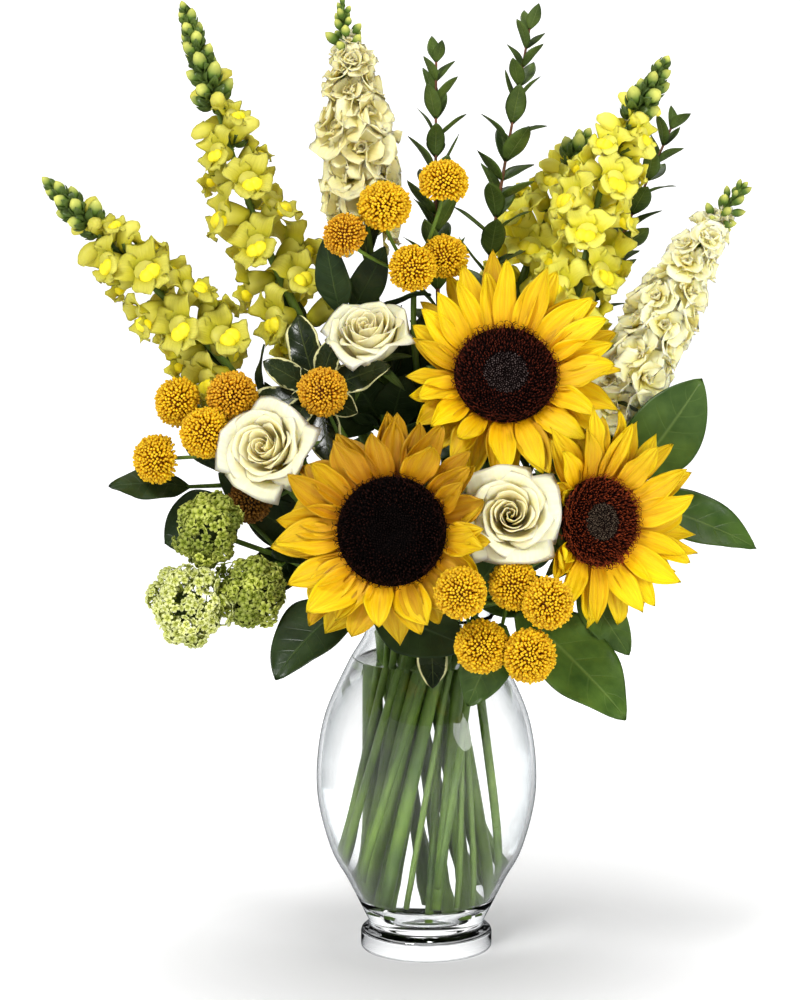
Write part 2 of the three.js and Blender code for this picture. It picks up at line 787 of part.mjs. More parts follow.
// A snapdragon floret: a funnel from its root at the origin to five lobes round a raised palate.
function snapdragonFloret(size) {
  const { lobes } = SNAPDRAGON;
  const geometry = new THREE.SphereGeometry(1, lobes * 2, 2).rotateZ(-Math.PI / 2);
  const points = geometry.getAttribute("position");
  for (let i = 0; i < points.count; i++) {
    const [x, y, z] = [points.getX(i), points.getY(i), points.getZ(i)];
    const a = Math.atan2(z, y);
    const mouth = Math.abs(x) < 0.5;
    const out = mouth ? size * (Math.cos(lobes * a) < 0 ? 0.3 : 0.48) : 0;
    points.setXYZ(i, size * (mouth ? 0.86 : x > 0 ? 1 : 0), out * Math.sin(a), out * Math.cos(a));
  }
  return geometry;
}

// A stock floret: a flat rosette with a ruffled edge. Its root is the point at the origin.
function stockFloret(size) {
  const { sectors } = STOCK;
  const geometry = new THREE.SphereGeometry(1, sectors, 3).rotateZ(-Math.PI / 2);
  const points = geometry.getAttribute("position");
  for (let i = 0; i < points.count; i++) {
    const [x, y, z] = [points.getX(i), points.getY(i), points.getZ(i)];
    const sector = Math.round((Math.atan2(z, y) / (2 * Math.PI)) * sectors);
    const raised = sector % 2 === 0;
    const reach = x > 0 ? (raised ? 0.62 : 0.5) : raised ? 1.16 : 0.92;
    const height = x > 0.9 ? 1 : x > 0 ? 1.06 : x > -0.9 ? (raised ? 0.8 : 0.68) : 0;
    points.setXYZ(i, size * height, size * y * reach, size * z * reach);
  }
  return geometry;
}

// A spike's buds, from its tip down: the smallest and most upright are at the tip.
function spikeBuds(curve, span, { count, tip, slant, length, width }) {
  return Array.from({ length: count }, (_, i) => {
    const share = i / (count - 1);
    const wide = lerp(width[0], width[1], share);
    const shape = { length: lerp(length[0], length[1], share), width: wide, thick: wide * 1.1 };
    const frame = frameOnStem(curve, tip + (span - 6) * share, i * GOLDEN_ANGLE, lerp(...slant, share));
    return solidOf(blade({ ...shape, steps: 2, shape: outline(0.15, 0.7) }), frame);
  });
}

// A spike's open florets, from its buds down, which grow to full size half way.
function spikeFlorets(curve, buds, blooms, kind, floretOf, random) {
  const { count, smallest, vary, start, turn, slant, lean } = kind;
  return Array.from({ length: count }, (_, i) => {
    const share = i / (count - 1);
    const grown = lerp(smallest, 1, Math.min(1, share * 2)) * (1 + jitter(random, vary));
    const tilt = slant + (lean && jitter(random, lean));
    const below = buds + start + (blooms - start - 4) * share;
    return solidOf(floretOf(kind.size * grown), frameOnStem(curve, below, i * GOLDEN_ANGLE + turn, tilt));
  });
}

function addSpike({ name, slot, route, buds, blooms, seed }, kind, floretOf, look) {
  const made = stem(slot, route, kind.stem, 8);
  const florets = spikeFlorets(made.curve, buds, blooms, kind.floret, floretOf, seeded(seed));
  addNode(name, fuse([made.solid, ...spikeBuds(made.curve, buds, kind.bud), ...florets]), look);
}

const addSnapdragon = (spike) => addSpike(spike, SNAPDRAGON, snapdragonFloret, "lemon");
const addStock = (spike) => addSpike(spike, STOCK, stockFloret, "cream");

function addMyrtle({ name, slot, route, leafy, seed }) {
  const random = seeded(seed);
  const made = stem(slot, route, MYRTLE.stem, 7);
  const parts = [made.solid];
  const pairs = Math.round(leafy / MYRTLE.pitch);
  for (let i = 0; i < pairs; i++) {
    const share = i / (pairs - 1);
    for (const half of [0, 180]) {
      const turn = i * 90 + 25 + half + jitter(random, 14);
      const below = lerp(MYRTLE.tip, leafy, share);
      const frame = frameOnStem(made.curve, below, turn, lerp(...MYRTLE.slant, share));
      const size = 0.72 + 0.34 * Math.min(1, share * 3) + jitter(random, 0.08);
      const leaf = { length: MYRTLE.leaf * size, width: MYRTLE.leafWidth * size, thick: MYRTLE.leafThick };
      parts.push(solidOf(blade({ ...leaf, steps: 2, curl: -0.5, shape: outline(0.03, 0.8) }), frame));
    }
  }
  addNode(name, fuse(parts), "leaf");
}

// ---------------------------------------------------------------- button chrysanthemums and viburnum
const BACK_SHARE = 0.8; // a head's back half is flatter than its front by this

// A ball whose surface is raised and sunk in turn, flattened along its axis. Its back pole is at -Z.
function knurledBall(radius, { sectors, rings, relief, flatness }) {
  const geometry = new THREE.SphereGeometry(1, sectors, rings).rotateX(Math.PI / 2);
  const points = geometry.getAttribute("position");
  for (let i = 0; i < points.count; i++) {
    const [x, y, z] = [points.getX(i), points.getY(i), points.getZ(i)];
    const sector = Math.round((Math.atan2(y, x) / (2 * Math.PI)) * sectors);
    const ring = Math.round((Math.acos(THREE.MathUtils.clamp(z, -1, 1)) / Math.PI) * rings);
    const pole = Math.hypot(x, y) < 1e-6;
    const raised = (pole || (sector + ring) % 2 === 0 ? 1 : 1 - relief) * radius;
    points.setXYZ(i, x * raised, y * raised, z * raised * flatness * (z < 0 ? BACK_SHARE : 1));
  }
  return geometry;
}

function addButtonSpray({ name, slot, route, heads }) {
  const made = stem(slot, route, BUTTON.stem, 5);
  const parts = [made.solid];
  const fork = vector(route[route.length - 1]);
  heads.forEach(([x, y, z, radius, face], i) => {
    const head = headGroup(headFrame([x, y, z], face));
    addNode(`${name}_head_${i + 1}`, solidOf(knurledBall(radius, BUTTON)), "button", head);
    const back = radius * BUTTON.flatness * BACK_SHARE + GAP;
    const [neck, seat] = behindHead([x, y, z], face, back + BUTTON.neck, back).map(vector);
    parts.push(solidOf(tube([fork, neck, seat], BUTTON.twig, 4)));
  });
  addNode(`${name}_stem`, fuse(parts), "stem");
}

function addViburnum(spray) {
  const { name, slot, route, heads, leaves } = spray;
  const made = stem(slot, route, spray.stem, 4);
  const parts = [made.solid];
  const fork = vector(route[route.length - 1]);
  heads.forEach(([x, y, z, radius], i) => {
    const out = vector([x, y, z]).sub(fork).toArray();
    const head = headGroup(headFrame([x, y, z], out));
    addNode(`${name}_head_${i + 1}`, solidOf(knurledBall(radius, spray)), "lime", head);
    const [seat] = behindHead([x, y, z], out, radius * spray.flatness * BACK_SHARE + GAP).map(vector);
    parts.push(solidOf(tube([fork, seat], spray.twig, 4)));
  });
  for (const leaf of leaves) parts.push(broadLeaf(leaf), petiole(fork, leaf));
  addNode(`${name}_stem`, fuse(parts), "leaf");
}

// ---------------------------------------------------------------- broad and variegated leaves
function broadLeaf([base, tip, width, face]) {
  const along = vector(tip).sub(vector(base));
  const geometry = blade({
    length: along.length() * 1.02,
    width,
    thick: LEAF_STEM.leafThick,
    sides: 4,
    steps: 4,
    shape: outline(0.05, 0.7, 0.85),
    lift: 0.2,
    curl: -0.4,
    cup: 0.12,
  });
  return solidOf(geometry, frameAt(vector(base), along, vector(face)));
}

// A leaf's stalk, from the stem's fork into the root of its midrib.
function petiole(fork, [base, tip]) {
  const end = vector(base).lerp(vector(tip), LEAF_STEM.rootShare);
  return solidOf(tube([fork, end], LEAF_STEM.petiole, 4));
}

function addLeafStem({ name, slot, route, leaves }) {
  const made = stem(slot, route, LEAF_STEM.radius, 4);
  const fork = vector(route[route.length - 1]);
  const grown = leaves.flatMap((leaf) => [broadLeaf(leaf), petiole(fork, leaf)]);
  addNode(name, fuse([made.solid, ...grown]), "leaf");
}

function addVariegated({ name, slot, route, face, turn, leaf, leaves }) {
  const made = stem(slot, route, VARIEGATED_SPRIG.stem, 4);
  const frame = headFrame(route[route.length - 1], face);
  const parts = [made.solid];
  for (let i = 0; i < leaves; i++) {
    const size = i % 2 ? VARIEGATED_SPRIG.small : 1;
    const geometry = blade({
      length: leaf * size,
      width: VARIEGATED_SPRIG.leafWidth * size,
      thick: VARIEGATED_SPRIG.leafThick,
      shape: outline(0.03, 0.9, 1.4),
      lift: VARIEGATED_SPRIG.lift[i % 2],
      curl: -0.5,
      cup: 0.15,
    });
    const place = chain(frame.clone(), turned((360 * i) / leaves + turn), moved(0.5, 0, -0.6));
    parts.push(solidOf(geometry, place));
  }
  addNode(name, fuse(parts), "leaf");
}

// ---------------------------------------------------------------- the whole bouquet
SUNFLOWERS.forEach(addSunflower);
ROSES.forEach(addRose);
SNAPDRAGONS.forEach(addSnapdragon);
STOCKS.forEach(addStock);
MYRTLES.forEach(addMyrtle);
BUTTONS.forEach(addButtonSpray);
addViburnum(VIBURNUM);
LEAF_STEMS.forEach(addLeafStem);
VARIEGATED.forEach(addVariegated);
addNode("water", waterSolid(), "water");
addNode("vase", vaseSolid(), "glass");

export default bouquet;
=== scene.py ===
"""A mixed sunflower bouquet in a clear glass vase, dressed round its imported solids.

Lengths are millimetres until a form becomes a mesh, and metres from there. Z is up, the flowers look
towards -Y, and the origin is the centre of the vase's foot, as in the solids.
"""
import json
import logging
import math
from collections.abc import Sequence
from dataclasses import dataclass, field
from enum import Enum

import bpy
import numpy as np
from mathutils import Matrix

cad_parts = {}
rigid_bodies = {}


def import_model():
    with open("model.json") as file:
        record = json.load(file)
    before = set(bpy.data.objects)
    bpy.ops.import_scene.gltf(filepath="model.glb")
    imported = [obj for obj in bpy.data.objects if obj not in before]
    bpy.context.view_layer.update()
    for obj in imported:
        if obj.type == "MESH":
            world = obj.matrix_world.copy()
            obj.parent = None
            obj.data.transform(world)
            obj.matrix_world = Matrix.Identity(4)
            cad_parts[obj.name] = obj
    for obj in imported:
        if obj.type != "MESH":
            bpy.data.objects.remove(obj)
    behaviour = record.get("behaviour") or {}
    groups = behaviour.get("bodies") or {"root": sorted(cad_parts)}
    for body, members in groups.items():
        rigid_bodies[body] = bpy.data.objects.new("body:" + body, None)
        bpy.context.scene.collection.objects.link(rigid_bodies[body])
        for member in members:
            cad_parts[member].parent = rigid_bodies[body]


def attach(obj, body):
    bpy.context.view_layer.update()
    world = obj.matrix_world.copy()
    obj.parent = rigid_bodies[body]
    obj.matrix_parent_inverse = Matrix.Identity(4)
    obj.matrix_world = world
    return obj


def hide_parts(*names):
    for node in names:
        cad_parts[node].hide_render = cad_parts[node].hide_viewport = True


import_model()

MM = 0.001
GOLDEN_ANGLE = 137.508
# No stem carries leaves under this height, just above the vase.
LOWEST_LEAF = 244.0
# A seed head's surface rises as sin(turn * reach + start), with reach 0 in its middle and 1 at its rim.
DISC_TURN, DISC_START = 2.1, 0.45
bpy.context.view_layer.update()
log = logging.getLogger("bouquet")

Vec = Sequence[float]
Colour = tuple[float, float, float]
Socket = bpy.types.NodeSocket


# ---- small mathematics ----
def rgb(red: int, green: int, blue: int) -> Colour:
    """A screen colour, 0 to 255 a channel, as the linear colour that shaders take."""
    return tuple(((c / 255 + 0.055) / 1.055) ** 2.4 if c > 10 else c / 255 / 12.92 for c in (red, green, blue))


def lerp(low: float, high: float, share: float) -> float:
    """The value a share of the way from low to high."""
    return low + (high - low) * share


def unit(vector: np.ndarray) -> np.ndarray:
    """A vector of length one, the same way round."""
    return vector / np.linalg.norm(vector)


def smooth(low: float, high: float, x: np.ndarray) -> np.ndarray:
    """0 under low, 1 over high, and a smooth step between them."""
    t = np.clip((x - low) / (high - low), 0, 1)
    return t * t * (3 - 2 * t)


def basis(x: np.ndarray, y: np.ndarray, z: np.ndarray, at: Vec) -> np.ndarray:
    """A 4 by 4 matrix from three axes and an origin.

    Args:
        x: The first axis.
        y: The second axis.
        z: The third axis.
        at: The origin.

    Returns:
        The matrix.
    """
    matrix = np.eye(4)
    matrix[:3, 0], matrix[:3, 1], matrix[:3, 2], matrix[:3, 3] = x, y, z, at
    return matrix


def head_frame(at: Vec, face: Vec) -> np.ndarray:
    """A flower head's frame: Z looks out of the flower, and Y is as near upright as it can be.

    Args:
        at: The head's middle.
        face: The way it looks.

    Returns:
        The 4 by 4 matrix from the head's frame to the bouquet's.
    """
    z = unit(np.array(face, float))
    x = unit(np.cross((0.0, 0.0, 1.0), z))
    return basis(x, np.cross(z, x), z, at)


def line_frame(at: Vec, along: np.ndarray, face: Vec) -> np.ndarray:
    """A frame whose X runs along a line, with Z as near to face as it can be.

    Args:
        at: The frame's origin.
        along: The way of its X.
        face: The way that its Z should look.

    Returns:
        The 4 by 4 matrix from the frame to the bouquet's.
    """
    x = unit(np.array(along, float))
    z = np.array(face, float)
    z = unit(z - x * (z @ x))
    return basis(x, np.cross(z, x), z, at)


def turned(degrees: float) -> np.ndarray:
    """A turn about Z."""
    return np.array(Matrix.Rotation(math.radians(degrees), 4, "Z"))


def tipped(degrees: float) -> np.ndarray:
    """A turn about Y."""
    return np.array(Matrix.Rotation(math.radians(degrees), 4, "Y"))


def rolled(degrees: float) -> np.ndarray:
    """A turn about X."""
    return np.array(Matrix.Rotation(math.radians(degrees), 4, "X"))


def moved(x: float, y: float, z: float) -> np.ndarray:
    """A shift."""
    return np.array(Matrix.Translation((x, y, z)))


# ---- forms ----
@dataclass
class Form:
    """Points, faces and named point values of a mesh in the making, in millimetres."""

    points: np.ndarray
    quads: np.ndarray
    tris: np.ndarray = field(default_factory=lambda: np.zeros((0, 3), int))
    values: dict[str, np.ndarray] = field(default_factory=dict)

    def placed(self, matrix: np.ndarray) -> "Form":
        """The same form, moved by a matrix."""
        points = self.points @ matrix[:3, :3].T + matrix[:3, 3]
        return Form(points, self.quads, self.tris, dict(self.values))

    def marked(self, **values: float) -> "Form":
        """The same form, with one value of each given name at all its points.

        Args:
            values: Each value's name and amount.

        Returns:
            The form itself.
        """
        for name, value in values.items():
            self.values[name] = np.full(len(self.points), float(value))
        return self

    @staticmethod
    def join(forms: Sequence["Form"]) -> "Form":
        """One form that holds several. A value that one of them lacks is 0 there.

        Args:
            forms: The forms, in order.

        Returns:
            The joined form.
        """
        starts = np.cumsum([0] + [len(f.points) for f in forms])
        names = sorted({name for f in forms for name in f.values})
        values = {n: np.concatenate([f.values.get(n, np.zeros(len(f.points))) for f in forms]) for n in names}
        quads = np.concatenate([f.quads + s for f, s in zip(forms, starts)])
        tris = np.concatenate([f.tris + s for f, s in zip(forms, starts)])
        return Form(np.concatenate([f.points for f in forms]), quads, tris, values)

    def mesh(self, name: str) -> bpy.types.Mesh:
        """The form as a mesh in metres, with its values as point attributes.

        Args:
            name: The mesh's name.

        Returns:
            The mesh, without a material.
        """
        mesh = bpy.data.meshes.new(name)
        loops = np.concatenate([self.quads.ravel(), self.tris.ravel()]).astype(np.int32)
        tri_start = self.quads.size
        starts = [np.arange(len(self.quads)) * 4, tri_start + np.arange(len(self.tris)) * 3]
        mesh.vertices.add(len(self.points))
        mesh.vertices.foreach_set("co", (self.points * MM).astype(np.float32).ravel())
        mesh.loops.add(len(loops))
        mesh.loops.foreach_set("vertex_index", loops)
        mesh.polygons.add(len(self.quads) + len(self.tris))
        mesh.polygons.foreach_set("loop_start", np.concatenate(starts).astype(np.int32))
        mesh.update(calc_edges=True)
        for key, value in self.values.items():
            mesh.attributes.new(key, "FLOAT", "POINT").data.foreach_set("value", value.astype(np.float32))
        return mesh


def shell(sheet: np.ndarray, thick: float) -> Form:
    """Closes a sheet into a thin body whose two faces meet at the rim, as a petal's do.

    Args:
        sheet: Rows of points, from root to tip, each from one side to the other.
        thick: The body's thickness inside the rim.

    Returns:
        The form, with values along (0 root, 1 tip) and across (-1 to 1). Rows x columns faces +Z.
    """
    rows, cols = sheet.shape[:2]
    normal = np.cross(np.gradient(sheet, axis=0), np.gradient(sheet, axis=1))
    normal /= np.maximum(np.linalg.norm(normal, axis=2, keepdims=True), 1e-9)
    inner = np.zeros((rows, cols), bool)
    inner[1:-1, 1:-1] = True
    offset = np.where(inner[..., None], normal * thick / 2, 0)
    front = np.arange(rows * cols).reshape(rows, cols)
    back = front.copy()
    back[inner] = rows * cols + np.arange(inner.sum())
    along = np.repeat(np.linspace(0, 1, rows)[:, None], cols, 1)
    across = np.repeat(np.linspace(-1, 1, cols)[None], rows, 0)

    def faces(index: np.ndarray) -> np.ndarray:
        """The quads of a grid of point numbers."""
        corners = (index[:-1, :-1], index[1:, :-1], index[1:, 1:], index[:-1, 1:])
        return np.stack(corners, -1).reshape(-1, 4)

    def both(grid: np.ndarray) -> np.ndarray:
        """A grid's values on the front and on the back."""
        return np.concatenate([grid.ravel(), grid[inner]])

    points = np.concatenate([(sheet + offset).reshape(-1, 3), (sheet - offset)[inner]])
    quads = np.concatenate([faces(front), faces(back)[:, ::-1]])
    return Form(points, quads, values={"along": both(along), "across": both(across)})


def lathe(profile: Sequence[tuple[float, float]], sides: int) -> Form:
    """Turns a profile, from the axis's lower end to its upper, about Z.

    Args:
        profile: Pairs of radius and height. A radius of 0 is a pole.
        sides: Faces round the axis.

    Returns:
        The closed form, with the value along from the first ring to the last.
    """
    points, rings, values = [], [], []
    for i, (radius, height) in enumerate(profile):
        count = 1 if radius < 1e-6 else sides
        angles = np.arange(count) * 2 * math.pi / sides
        rings.append(np.arange(count) + sum(len(r) for r in rings))
        points.append(np.stack([radius * np.cos(angles), radius * np.sin(angles), np.full(count, height)], 1))
        values.append(np.full(count, i / (len(profile) - 1)))
    quads, tris = [], []
    for low, high in zip(rings, rings[1:]):
        for k in range(sides):
            n = (k + 1) % sides
            if len(low) == 1:
                tris.append((low[0], high[n], high[k]))
            elif len(high) == 1:
                tris.append((low[k], low[n], high[0]))
            else:
                quads.append((low[k], low[n], high[n], high[k]))
    quad_array = np.array(quads, int).reshape(-1, 4)
    tri_array = np.array(tris, int).reshape(-1, 3)
    return Form(np.concatenate(points), quad_array, tri_array, {"along": np.concatenate(values)})


def tube(line: np.ndarray, radii: np.ndarray, sides: int) -> Form:
    """A round bar along a line of points, with closed ends.

    Args:
        line: The points that it follows.
        radii: Its radius at each.
        sides: Faces round it.

    Returns:
        The closed form, with the value along from its first end to its last.
    """
    ways = np.gradient(line, axis=0)
    ways /= np.linalg.norm(ways, axis=1, keepdims=True)
    side = unit(np.cross(ways[0], (0.31, 0.22, 0.93)))
    bar = lathe([(0, 0), *((1, i) for i in range(len(line))), (0, len(line) - 1)], sides)
    ring = bar.points[1 : 1 + sides, :2]
    points = [line[:1]]
    for at, way, radius in zip(line, ways, radii):
        side = unit(side - way * (side @ way))
        other = np.cross(way, side)
        points.append(at + (ring[:, :1] * side + ring[:, 1:] * other) * radius)
    bar.points = np.concatenate([*points, line[-1:]])
    return bar


def bead(length: float, radius: float, sides: int, rings: int, belly: float = 0.45) -> Form:
    """A bud-shaped drop along X from its root at the origin.

    Args:
        length: Its length.
        radius: Its radius where it is widest.
        sides: Faces round it.
        rings: Steps along it.
        belly: The share of the length at which it is widest.

    Returns:
        The closed form, with the value along from root to tip.
    """
    t = np.linspace(0, 1, rings + 1)
    swell = np.sin(math.pi * t ** (math.log(0.5) / math.log(belly))) ** 0.75
    drop = lathe([(radius * s if 0 < i < rings else 0, length * x) for i, (s, x) in enumerate(zip(swell, t))], sides)
    return drop.placed(tipped(90))


# ---- stems ----
class Route:
    """A stem's line: straight from its cut foot to the vase's neck, then a centripetal spline.

    RINGS gives each ring of the bundle its radius at the waist, the height of its stems' cut feet, and how far
    from the axis those feet stand.
    """

    WAIST = 168.0
    NECK = 203.0
    NECK_POINT = 3
    RINGS = {"outer": (26.0, 50.0, 42.0), "middle": (17.0, 34.0, 33.0), "inner": (7.5, 24.0, 25.0)}

    def __init__(self, slot: tuple[str, float], onward: Sequence[Vec]) -> None:
        """Lays the line.

        Args:
            slot: The stem's ring in the bundle, and its angle there in degrees.
            onward: The points that it passes above the neck.
        """
        radius, foot, reach = self.RINGS[slot[0]]
        a = math.radians(slot[1])
        drift = math.sqrt(reach**2 - radius**2) / (self.WAIST - foot)
        waist = np.array([radius * math.cos(a), radius * math.sin(a), self.WAIST])
        rise = np.array([-math.sin(a) * drift, math.cos(a) * drift, 1.0])
        heights = (foot, (foot + self.WAIST) / 2, self.WAIST, self.NECK)
        knots = [waist + rise * (h - self.WAIST) for h in heights] + [np.array(p, float) for p in onward]
        self.knots = [2 * knots[0] - knots[1], *knots, 2 * knots[-1] - knots[-2]]
        self.line = self._sampled()

    def _point(self, t: float) -> np.ndarray:
        """The spline's point at a share of its knots.

        Args:
            t: The share, from 0 to 1.

        Returns:
            The point.
        """
        p = t * (len(self.knots) - 3)
        i = min(int(p), len(self.knots) - 4)
        w = p - i
        p0, p1, p2, p3 = self.knots[i : i + 4]
        d0, d1, d2 = (np.linalg.norm(b - a) ** 0.5 for a, b in ((p0, p1), (p1, p2), (p2, p3)))
        t1 = ((p1 - p0) / d0 - (p2 - p0) / (d0 + d1) + (p2 - p1) / d1) * d1
        t2 = ((p2 - p1) / d1 - (p3 - p1) / (d1 + d2) + (p3 - p2) / d2) * d1
        return p1 + t1 * w + (3 * (p2 - p1) - 2 * t1 - t2) * w**2 + (2 * (p1 - p2) + t1 + t2) * w**3

    def _sampled(self) -> np.ndarray:
        """Points along the stem, straight to the neck and fine above it.

        Returns:
            The points, in rows.
        """
        neck = self.NECK_POINT / (len(self.knots) - 3)
        straight = [lerp(self.knots[1], self.knots[4], t) for t in np.linspace(0, 1, 9)[:-1]]
        return np.array(straight + [self._point(lerp(neck, 1, t)) for t in np.linspace(0, 1, 41)])

    def curve(self, name: str) -> bpy.types.Object:
        """The line as a curve object in metres, for the node trees.

        Args:
            name: The object's name.

        Returns:
            The object, not yet in the scene.
        """
        data = bpy.data.curves.new(name, "CURVE")
        data.dimensions = "3D"
        spline = data.splines.new("POLY")
        spline.points.add(len(self.line) - 1)
        spline.points.foreach_set("co", np.column_stack([self.line * MM, np.ones(len(self.line))]).ravel())
        return bpy.data.objects.new(name, data)

    def stem(self, radius: float, tip: float = 1.0, sides: int = 12) -> Form:
        """The stem's own body, with its radius at the tip as a share of that at the foot.

        Args:
            radius: The radius at the foot.
            tip: The tip's share of it.
            sides: Faces round it.

        Returns:
            The closed form.
        """
        share = np.linspace(0, 1, len(self.line))
        wobble = 1 + 0.03 * np.sin(share * 37 + radius * 9)
        return tube(self.line, radius * (1 - (1 - tip) * smooth(0.35, 1, share)) * wobble, sides)


# ---- shader node work ----
class Shader:
    """A material in the making, with short names for the nodes that its finish needs."""

    ROUGHNESS = 0.55

    def __init__(self, name: str) -> None:
        """Starts a material with a plain Principled surface.

        Args:
            name: The material's name.
        """
        self.material = bpy.data.materials.new(name)
        self.material.use_nodes = True
        self.nodes = self.material.node_tree.nodes
        self.links = self.material.node_tree.links
        self.surface = self.nodes["Principled BSDF"]

    def add(self, kind: str, inputs: Sequence[object] = (), **settings: object) -> bpy.types.Node:
        """Adds a node. An input is a socket to link, a constant to set, or None to leave.

        Args:
            kind: The node's type.
            inputs: What goes into its first sockets, in order.
            settings: The node's own options.

        Returns:
            The node.
        """
        node = self.nodes.new(kind)
        for key, value in settings.items():
            setattr(node, key, value)
        for i, value in enumerate(inputs):
            self.feed(node.inputs[i], value)
        return node

    def feed(self, socket: Socket, value: object) -> None:
        """Links or sets one input.

        Args:
            socket: The input.
            value: A socket, a constant, or None to leave it.
        """
        if isinstance(value, bpy.types.NodeSocket):
            self.links.new(value, socket)
        elif value is not None:
            plain = (*value, 1.0) if socket.type == "RGBA" and len(value) == 3 else value
            socket.default_value = plain

    def set(self, **values: object) -> None:
        """Links or sets inputs of the surface. An underscore stands for a space."""
        for name, value in values.items():
            self.feed(self.surface.inputs[name.replace("_", " ")], value)

    def value(self, name: str) -> Socket:
        """A point value of the mesh."""
        return self.add("ShaderNodeAttribute", attribute_name=name).outputs["Fac"]

    def math(self, operation: str, a: object, b: object = None) -> Socket:
        """A sum of two numbers."""
        return self.add("ShaderNodeMath", (a, b), operation=operation).outputs[0]

    def place(self) -> Socket:
        """The point's place in the object, in metres."""
        return self.add("ShaderNodeTexCoord").outputs["Object"]

    def combine(self, x: object, y: object, z: object) -> Socket:
        """A vector of three numbers."""
        return self.add("ShaderNodeCombineXYZ", (x, y, z)).outputs[0]

    def noise(self, vector: Socket, scale: float, detail: float) -> Socket:
        """Soft noise, from 0 to 1.

        Args:
            vector: Where it is read.
            scale: How fine it is.
            detail: How many finer layers it has.

        Returns:
            The number's socket.
        """
        node = self.add("ShaderNodeTexNoise")
        self.feed(node.inputs["Vector"], vector)
        for name, value in (("Scale", scale), ("Detail", detail), ("Roughness", self.ROUGHNESS)):
            node.inputs[name].default_value = value
        return node.outputs["Fac"]

    def ramp(self, share: Socket, stops: Sequence[tuple[float, Colour]]) -> Socket:
        """A colour that changes with a share.

        Args:
            share: The share.
            stops: Each stop's share and colour, in order.

        Returns:
            The colour's socket.
        """
        node = self.add("ShaderNodeValToRGB", (share,))
        points = node.color_ramp.elements
        while len(points) < len(stops):
            points.new(0.5)
        for point, (position, colour) in zip(points, stops):
            point.position = position
            point.color = (*colour, 1.0)
        return node.outputs["Color"]

    def mix(self, share: object, a: object, b: object, blend: str = "MIX") -> Socket:
        """Two colours, mixed.

        Args:
            share: How much of the second there is.
            a: The first.
            b: The second.
            blend: How they are mixed.

        Returns:
            The colour's socket.
        """
        node = self.add("ShaderNodeMix", data_type="RGBA", blend_type=blend)
        for index, value in ((0, share), (6, a), (7, b)):
            self.feed(node.inputs[index], value)
        return node.outputs[2]

    def span(self, x: object, low: float, high: float, to_low: float = 0.0, to_high: float = 1.0) -> Socket:
        """A number carried from one range to another, and kept inside it."""
        return self.add("ShaderNodeMapRange", (x, low, high, to_low, to_high)).outputs[0]

    def bump(self, height: Socket, depth: float, strength: float = 1.0) -> None:
        """Raises the surface by height, up to a depth in millimetres.

        Args:
            height: The height, from 0 to 1.
            depth: How deep a height of 1 is.
            strength: How much of it shows.
        """
        node = self.add("ShaderNodeBump")
        node.inputs["Strength"].default_value = strength
        node.inputs["Distance"].default_value = depth * MM
        self.links.new(height, node.inputs["Height"])
        self.links.new(node.outputs[0], self.surface.inputs["Normal"])


@dataclass(frozen=True)
class Petal:
    """A petal's finish: its colour from root to tip, fine veins along it, and painted shade that differs between
    petals.
    """

    name: str
    root: Colour
    middle: Colour
    tip: Colour
    # The veins' colour, which is also the painted shade's colour where no other is given.
    shade: Colour
    stops: tuple[float, float] = (0.3, 0.75)
    veins: float = 7.0
    vein_share: float = 0.35
    depth: float = 0.35
    roughness: float = 0.5
    translucence: float = 0.12
    mottle: float = 0.25
    # How far painted shade darkens a petal at most, and the darker colour that it takes there.
    shading: float = 0.45
    dim: Colour | None = None

    def material(self) -> bpy.types.Material:
        """Builds the finish.

        Returns:
            The material.
        """
        s = Shader(self.name)
        along, across, tint = s.value("along"), s.value("across"), s.value("tint")
        low, high = self.stops
        # Darker towards the root: partly the petal's own colour, partly painted shade in the depth of the flower.
        colour = s.ramp(along, ((0.0, self.root), (low, self.middle), (high, self.tip)))
        streak = s.noise(s.combine(s.math("MULTIPLY", across, self.veins), along, tint), 1.6, 4.0)
        patch = s.noise(s.place(), 90.0, 3.0)
        shade = s.math("MULTIPLY", s.span(streak, 0.38, 0.66), self.vein_share)
        colour = s.mix(shade, colour, self.shade)
        colour = s.mix(s.math("MULTIPLY", s.span(patch, 0.45, 0.75), self.mottle), colour, self.middle)
        # Painted shade: each petal is darkened by its own share, set per petal where the flower is built.
        shaded = s.math("MULTIPLY", s.span(tint, 0.0, 1.0), self.shading)
        colour = s.mix(shaded, colour, self.dim or self.shade, "MULTIPLY")
        s.set(Base_Color=colour, Roughness=self.roughness, Subsurface_Weight=self.translucence)
        s.set(Subsurface_Radius=(1.0, 0.7, 0.2), Subsurface_Scale=3 * MM, Specular_IOR_Level=0.3)
        grain = s.noise(s.combine(s.math("MULTIPLY", across, self.veins * 2), along, tint), 3.0, 2.0)
        s.bump(s.math("ADD", streak, s.math("MULTIPLY", grain, 0.4)), self.depth)
        return s.material


